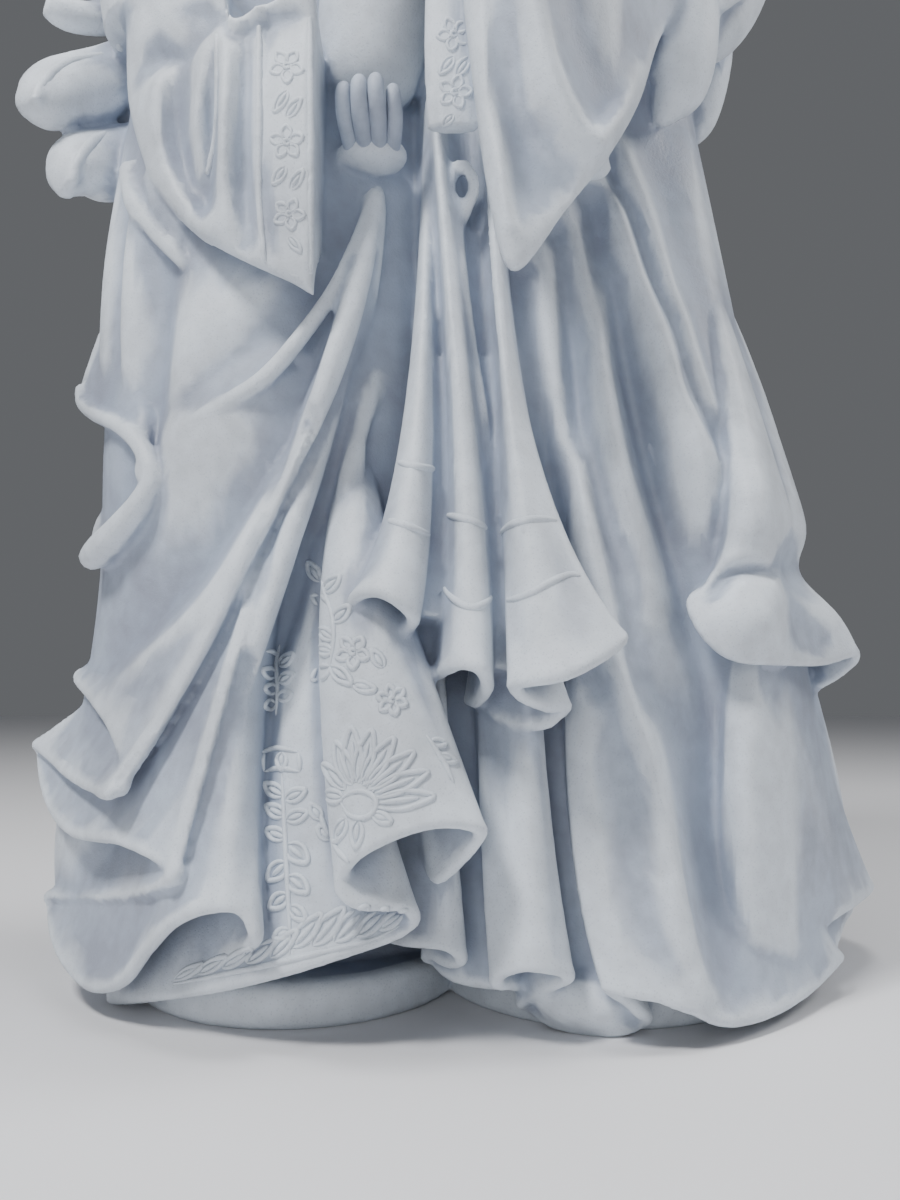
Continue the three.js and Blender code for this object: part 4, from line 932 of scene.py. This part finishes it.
def marble():
    look = marbleLook
    stone = bpy.data.materials.new("marble")
    stone.use_nodes = True
    tree = stone.node_tree
    shader = tree.nodes["Principled BSDF"]
    where = node(tree, "ShaderNodeTexCoord")
    clouds = node(tree, "ShaderNodeGroup", {"Size": look["clouds"]}, node_tree=cloudiness())
    grain = node(tree, "ShaderNodeGroup", {"Grain": look["grain"]}, node_tree=sandiness())
    link(tree, (where, "Object", clouds, "Place"), (where, "Object", grain, "Place"))

    def attribute(name):
        return node(tree, "ShaderNodeAttribute", attribute_name=name).outputs["Fac"]

    def blend(kind, share, low, high):  # each a fixed value or another node's output
        mixing = node(tree, "ShaderNodeMix", data_type="RGBA", blend_type=kind)
        for slot, value in ((0, share), (6, low), (7, high)):
            if isinstance(value, bpy.types.NodeSocket):
                tree.links.new(value, mixing.inputs[slot])
            else:
                mixing.inputs[slot].default_value = value
        return mixing.outputs[2]

    def span(value, low, high, lowest=0.0, highest=1.0):
        limits = {"From Min": low, "From Max": high, "To Min": lowest, "To Max": highest}
        mapped = node(tree, "ShaderNodeMapRange", limits)
        tree.links.new(value, mapped.inputs["Value"])
        return mapped.outputs["Result"]

    tone = clouds.outputs["Tone"]
    # Painted shade: the hollows are darkened toward the shade colour
    base = blend("MIX", attribute("paintedShadeMask"), look["stone"], look["paintedShadeColour"])
    base = blend("MIX", span(tone, 0.52, 0.82, look["lilacShare"], 0.0), base, look["lilac"])
    # Painted highlight: edges and relief rods are lightened toward the crest colour
    base = blend("MIX", span(attribute("edge"), 0.0, 1.0, 0.0, look["paintedHighlightShare"]), base, look["crest"])
    grey = node(tree, "ShaderNodeCombineColor")
    brightness = span(tone, 0.5, 0.9, *look["tones"])
    for channel in ("Red", "Green", "Blue"):
        tree.links.new(brightness, grey.inputs[channel])
    base = blend("MULTIPLY", 1.0, base, grey.outputs["Color"])
    # Painted shade: the pits of the grain are darkened toward the shade colour
    pitShade = span(grain.outputs["PitShade"], 0.0, 1.0, look["pitShadeShare"], 0.0)
    tree.links.new(blend("MIX", pitShade, base, look["paintedShadeColour"]), shader.inputs["Base Color"])
    tree.links.new(span(tone, 0.4, 0.95, *look["roughness"]), shader.inputs["Roughness"])
    bump = node(tree, "ShaderNodeBump", {"Strength": look["bump"], "Distance": look["bumpDistance"]})
    link(tree, (grain, "Height", bump, "Height"), (bump, "Normal", shader, "Normal"))
    for name, value in {**look["depth"], "Specular IOR Level": look["specular"]}.items():
        shader.inputs[name].default_value = value
    return stone


stone = marble()
cast.data.materials.clear()
cast.data.materials.append(stone)
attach(cast, "root")
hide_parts("holy_family_group")

# Fine relief: lines drawn on a sheet of 900 by 1200 steps before the camera and laid on the cast

view = {"place": (0, -0.382, 0.100), "tilt": 94.63, "lens": 31.5, "sensor": 36, "sheet": (900, 1200)}
laying = {"longestStep": 2, "gap": 0.004, "shortestRun": 5}
castSurface = BVHTree.FromObject(cast, bpy.context.evaluated_depsgraph_get())


def laidOn(line, lift):  # the line as runs of points on the cast, broken where it crosses a hidden gap
    points = np.asarray(line, float)
    length = np.linalg.norm(np.diff(points, axis=0), axis=1).sum()
    rise = math.radians(view["tilt"] - 90)
    width, height = view["sheet"]
    reach = view["lens"] / view["sensor"] * height
    runs, last = [[]], None
    for x, y in between(points, np.linspace(0, 1, max(4, round(length / laying["longestStep"])))):
        across, up = (x - width / 2) / reach, (height / 2 - y) / reach
        sight = Vector((across, math.cos(rise) - up * math.sin(rise), math.sin(rise) + up * math.cos(rise)))
        hit, normal, _, _ = castSurface.ray_cast(Vector(view["place"]), sight.normalized())
        if hit is None or (last is not None and (hit - last).length > laying["gap"]):
            runs.append([])
        if hit is not None:
            runs[-1].append(hit + normal * lift)
        last = hit
    return [run for run in runs if len(run) > laying["shortestRun"]]


def leaf(root, tip, width, vein=True):
    root, tip = np.asarray(root, float), np.asarray(tip, float)
    along = tip - root
    side = np.array([-along[1], along[0]]) / np.linalg.norm(along) * width
    t = np.array([0, 0.2, 0.5, 0.8, 1])
    bulge = np.array([0, 0.75, 1, 0.6, 0])
    left = root + along * t[:, None] + side * bulge[:, None]
    right = root + along * t[:, None] - side * bulge[:, None]
    loop = np.vstack([left, right[::-1][1:]]).tolist()
    return [loop, [(root + along * 0.1).tolist(), (root + along * 0.78).tolist()]] if vein else [loop]


def flower(x, y, size, petals=5, turn=0.3):
    lines = []
    for k in range(petals):
        angle = turn + 2 * math.pi * k / petals
        out = np.array([math.cos(angle), math.sin(angle)])
        lines += leaf((x, y) + out * size * 0.22, (x, y) + out * size, size * 0.3, vein=False)
    ring = [[x + size * 0.18 * math.cos(a), y + size * 0.18 * math.sin(a)]
            for a in np.linspace(0, 2 * math.pi, 7)]
    return lines + [ring]


def leaves(rows):  # rows of [root across, root down, tip across, tip down, width]
    return [line for x, y, tipX, tipY, width in rows for line in leaf((x, y), (tipX, tipY), width)]


# The front panel has a stem with leaves, two open flowers and a fan of long petals. The upright band has bars
# and a stem with leaves, and slanting leaves follow the hem.
laceStems = [
    [[318, 566], [324, 590], [332, 614], [334, 640], [330, 666]],
    [[340, 800], [352, 792], [366, 792], [376, 800], [374, 812], [362, 818], [348, 814], [340, 800]],
    [[426, 734], [436, 750], [446, 766], [454, 784]], [[320, 812], [326, 830], [338, 850], [350, 864]],
    [[280, 644], [276, 664], [278, 690], [276, 716]],
    [[262, 752], [278, 748], [298, 752]], [[264, 772], [280, 768], [300, 772]],
    [[264, 752], [262, 762], [264, 772]], [[298, 752], [300, 762], [300, 772]],
    [[282, 772], [284, 810], [286, 850], [288, 890], [290, 930], [290, 956]],
    [[172, 984], [210, 977], [250, 969], [290, 960], [330, 950], [370, 940], [400, 926]],
]
panelLeaves = [
    [320, 582, 308, 562, 5], [324, 592, 340, 576, 6], [328, 606, 312, 596, 5], [333, 622, 350, 606, 6],
    [334, 640, 318, 628, 5], [333, 652, 316, 648, 5], [330, 666, 352, 684, 6], [330, 666, 312, 680, 6],
    [352, 684, 376, 690, 5], [384, 668, 372, 650, 5], [352, 786, 336, 742, 8], [354, 784, 352, 728, 9],
    [358, 784, 372, 730, 9], [362, 786, 394, 738, 9], [366, 790, 414, 752, 9], [370, 796, 428, 772, 9],
    [372, 804, 434, 796, 9], [346, 790, 324, 764, 6], [344, 798, 322, 794, 6], [346, 818, 334, 842, 6],
    [358, 820, 356, 848, 6], [372, 814, 392, 822, 5], [430, 742, 446, 744, 4], [438, 756, 456, 762, 4],
    [322, 820, 310, 804, 5], [330, 840, 318, 826, 5],
]
bandLeaves = [
    [278, 660, 262, 652, 5], [277, 676, 262, 670, 5], [278, 690, 264, 688, 5], [276, 704, 264, 706, 5],
    [279, 666, 294, 654, 5], [279, 682, 294, 674, 5], [278, 698, 292, 694, 5], [282, 752, 282, 770, 5],
    [284, 796, 264, 784, 6], [285, 816, 266, 806, 6], [286, 838, 266, 830, 6], [287, 862, 268, 880, 8],
    [288, 894, 270, 908, 7], [290, 930, 274, 938, 5], [285, 800, 306, 790, 6], [286, 820, 308, 812, 6],
    [287, 844, 308, 862, 9], [288, 876, 308, 892, 8], [290, 906, 306, 920, 6],
]
hemLeaves = [
    [292, 948, 322, 914, 8], [312, 946, 344, 908, 9], [334, 942, 368, 906, 9], [356, 937, 388, 908, 7],
    [378, 930, 406, 910, 5], [270, 958, 298, 930, 6], [246, 963, 276, 940, 6], [222, 968, 252, 948, 5],
    [198, 974, 228, 956, 5], [174, 980, 204, 964, 4],
]
cuffLeaves = [
    [288, 90, 274, 112, 5], [286, 118, 301, 98, 5], [286, 166, 273, 184, 5], [290, 190, 303, 170, 5],
    [288, 236, 301, 252, 4], [454, 56, 440, 74, 5], [456, 76, 470, 56, 5], [454, 114, 442, 126, 4],
]
laceLines = [*laceStems, *flower(353, 652, 17), *flower(392, 700, 15, petals=6),
             *leaves(panelLeaves + bandLeaves + hemLeaves)]
brocadeLines = [
    *flower(287, 66, 17), *flower(287, 142, 17, turn=0.9), *flower(289, 214, 16, turn=0.1),
    *flower(454, 34, 17, turn=0.5), *flower(455, 92, 17, turn=1.2), *leaves(cuffLeaves),
]
seamLines = [
    [[259, 24], [259, 120], [259, 200], [265, 264]], [[216, 34], [217, 90], [215, 135], [207, 176]],
    [[310, 16], [311, 100], [312, 200], [312, 276]],
]
veilLines = [
    [[124, 47], [100, 53], [66, 61], [46, 78], [36, 98]], [[110, 128], [92, 142], [79, 160], [72, 184]],
]
ribLines = [
    [[398, 462], [412, 465], [428, 468], [435, 469]], [[388, 520], [396, 522], [414, 528], [430, 535]],
    [[446, 515], [458, 517], [474, 521], [487, 528]],
    [[443, 586], [448, 594], [458, 602], [472, 607], [484, 604], [492, 597]],
    [[499, 535], [508, 526], [522, 521], [540, 518], [558, 520]],
    [[499, 601], [516, 598], [534, 591], [552, 581], [570, 574], [582, 576]],
]


def raisedLineTree():  # turns edges into round rods that thin out at both ends
    inputs = {"Geometry": "Geometry", "Radius": "Float", "Step": "Float", "Thinning": "Float",
              "Material": "Material"}
    tree, given, result = nodeGroup("raisedLine", inputs, {"Geometry": "Geometry"}, "GeometryNodeTree")
    curve = node(tree, "GeometryNodeMeshToCurve")
    evenly = node(tree, "GeometryNodeResampleCurve", mode="LENGTH")
    profile = node(tree, "GeometryNodeCurvePrimitiveCircle", {"Resolution": 8})
    rod = node(tree, "GeometryNodeCurveToMesh", {"Fill Caps": True})
    along = node(tree, "GeometryNodeSplineParameter")
    halfTurn = node(tree, "ShaderNodeMath", {1: math.pi}, operation="MULTIPLY")
    swelling = node(tree, "ShaderNodeMath", operation="SINE")
    girth = node(tree, "ShaderNodeMath", operation="POWER")
    smooth = node(tree, "GeometryNodeSetShadeSmooth")
    real = node(tree, "GeometryNodeRealizeInstances")
    finish = node(tree, "GeometryNodeSetMaterial")
    link(tree, (given, "Geometry", curve, "Mesh"), (curve, "Curve", evenly, "Curve"),
         (given, "Step", evenly, "Length"), (given, "Radius", profile, "Radius"),
         (evenly, "Curve", rod, "Curve"), (profile, "Curve", rod, "Profile Curve"),
         (along, "Factor", halfTurn, 0), (halfTurn, 0, swelling, 0), (swelling, 0, girth, 0),
         (given, "Thinning", girth, 1), (girth, 0, rod, "Scale"), (rod, "Mesh", smooth, "Geometry"),
         (smooth, "Geometry", real, "Geometry"), (real, "Geometry", finish, "Geometry"),
         (given, "Material", finish, "Material"), (finish, "Geometry", result, "Geometry"))
    return tree


# Thinning is how fast a rod swells from its ends; rodMaking also gives how much of the crest colour, a
# painted highlight, each rod takes
reliefs = {
    "lace_relief": {"lines": laceLines, "radius": 0.00085, "lift": 0.00005, "thinning": 0.45},
    "brocade_relief": {"lines": brocadeLines, "radius": 0.0007, "lift": -0.0001, "thinning": 0.45},
    "rib_relief": {"lines": ribLines, "radius": 0.00125, "lift": -0.0004, "thinning": 0.2},
    "seam_relief": {"lines": seamLines, "radius": 0.0012, "lift": -0.0004, "thinning": 0.1},
    "veil_relief": {"lines": veilLines, "radius": 0.0026, "lift": -0.0016, "thinning": 0.45},
}
rodMaking = {"step": 0.0007, "paintedRodHighlight": 0.9}
raisedLine = raisedLineTree()


def relief(name, lines, radius, lift, thinning):
    points, edges = [], []
    for line in lines:
        for run in laidOn(line, lift):
            edges += [(len(points) + k, len(points) + k + 1) for k in range(len(run) - 1)]
            points += run
    mesh = bpy.data.meshes.new(name)
    mesh.from_pydata(points, edges, [])
    piece = objectOf(name, mesh)
    rods = piece.modifiers.new("rods", "NODES")
    rods.node_group = raisedLine
    sockets = {item.name: item.identifier for item in raisedLine.interface.items_tree
               if item.in_out == "INPUT"}
    for socket, value in (("Radius", radius), ("Step", rodMaking["step"]), ("Thinning", thinning),
                          ("Material", stone)):
        rods[sockets[socket]] = value
    withModifiers(piece)
    # Painted highlight: every rod gets the same high edge value, so it takes the crest colour as if lit
    lit = piece.data.attributes.new("edge", "FLOAT", "POINT")
    lit.data.foreach_set("value", np.full(len(piece.data.vertices), rodMaking["paintedRodHighlight"], dtype=np.float32))
    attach(piece, "root")
    stage(f"{name}: {len(piece.data.polygons)} faces")


for name, making in reliefs.items():
    relief(name, **making)
fingers = objectOf("fingers", meshOf("fingers", [roll(path, around=28) for path in fingersUnderChild]))
fingers.data.materials.append(stone)
smoothed(fingers)
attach(fingers, "root")
stage("fingers drawn")

# Floor, light and camera

studio = {"floorSize": 6.0, "floorColour": (0.78, 0.78, 0.8, 1), "floorRoughness": 0.7,
          "skyColour": (0.8, 0.83, 0.88, 1), "skyStrength": 0.16}
lights = {
    "keyLight": {"place": (-0.5, -0.6, 1.15), "aim": (0, 0, 0.2), "size": 0.22, "power": 15},
    "frontLight": {"place": (-0.3, -1.4, 0.5), "aim": (0, 0, 0.2), "size": 0.8, "power": 4.5},
    "rightLight": {"place": (0.9, 0.0, 0.8), "aim": (0.05, 0, 0.2), "size": 0.3, "power": 5},
    "topLight": {"place": (0.1, -0.1, 1.4), "aim": (0, -0.05, 0.3), "size": 0.4, "power": 8},
}


def plainFloor():
    half = studio["floorSize"] / 2
    mesh = bpy.data.meshes.new("floor")
    corners = [(-half, -half, 0), (half, -half, 0), (half, half, 0), (-half, half, 0)]
    mesh.from_pydata(corners, [], [(0, 1, 2, 3)])
    floor = objectOf("floor", mesh)
    pale = bpy.data.materials.new("pale_floor")
    pale.use_nodes = True
    shader = pale.node_tree.nodes["Principled BSDF"]
    shader.inputs["Base Color"].default_value = studio["floorColour"]
    shader.inputs["Roughness"].default_value = studio["floorRoughness"]
    mesh.materials.append(pale)


def softLight(name, place, aim, size, power):
    data = bpy.data.lights.new(name, "AREA")
    data.shape = "RECTANGLE"
    data.size = data.size_y = size
    data.energy = power
    lamp = objectOf(name, data)
    lamp.location = place
    lamp.rotation_euler = (Vector(aim) - Vector(place)).to_track_quat("-Z", "Y").to_euler()


plainFloor()
for name, making in lights.items():
    softLight(name, **making)
world = bpy.data.worlds.new("studio")
bpy.context.scene.world = world
world.use_nodes = True
sky = world.node_tree.nodes["Background"]
sky.inputs["Color"].default_value = studio["skyColour"]
sky.inputs["Strength"].default_value = studio["skyStrength"]

lens = bpy.data.cameras.new("camera")
lens.lens = view["lens"]
lens.sensor_width = view["sensor"]
camera = objectOf("camera", lens)
camera.location = view["place"]
camera.rotation_euler = (math.radians(view["tilt"]), 0, 0)
bpy.context.scene.camera = camera

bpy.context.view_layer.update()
stage("done")
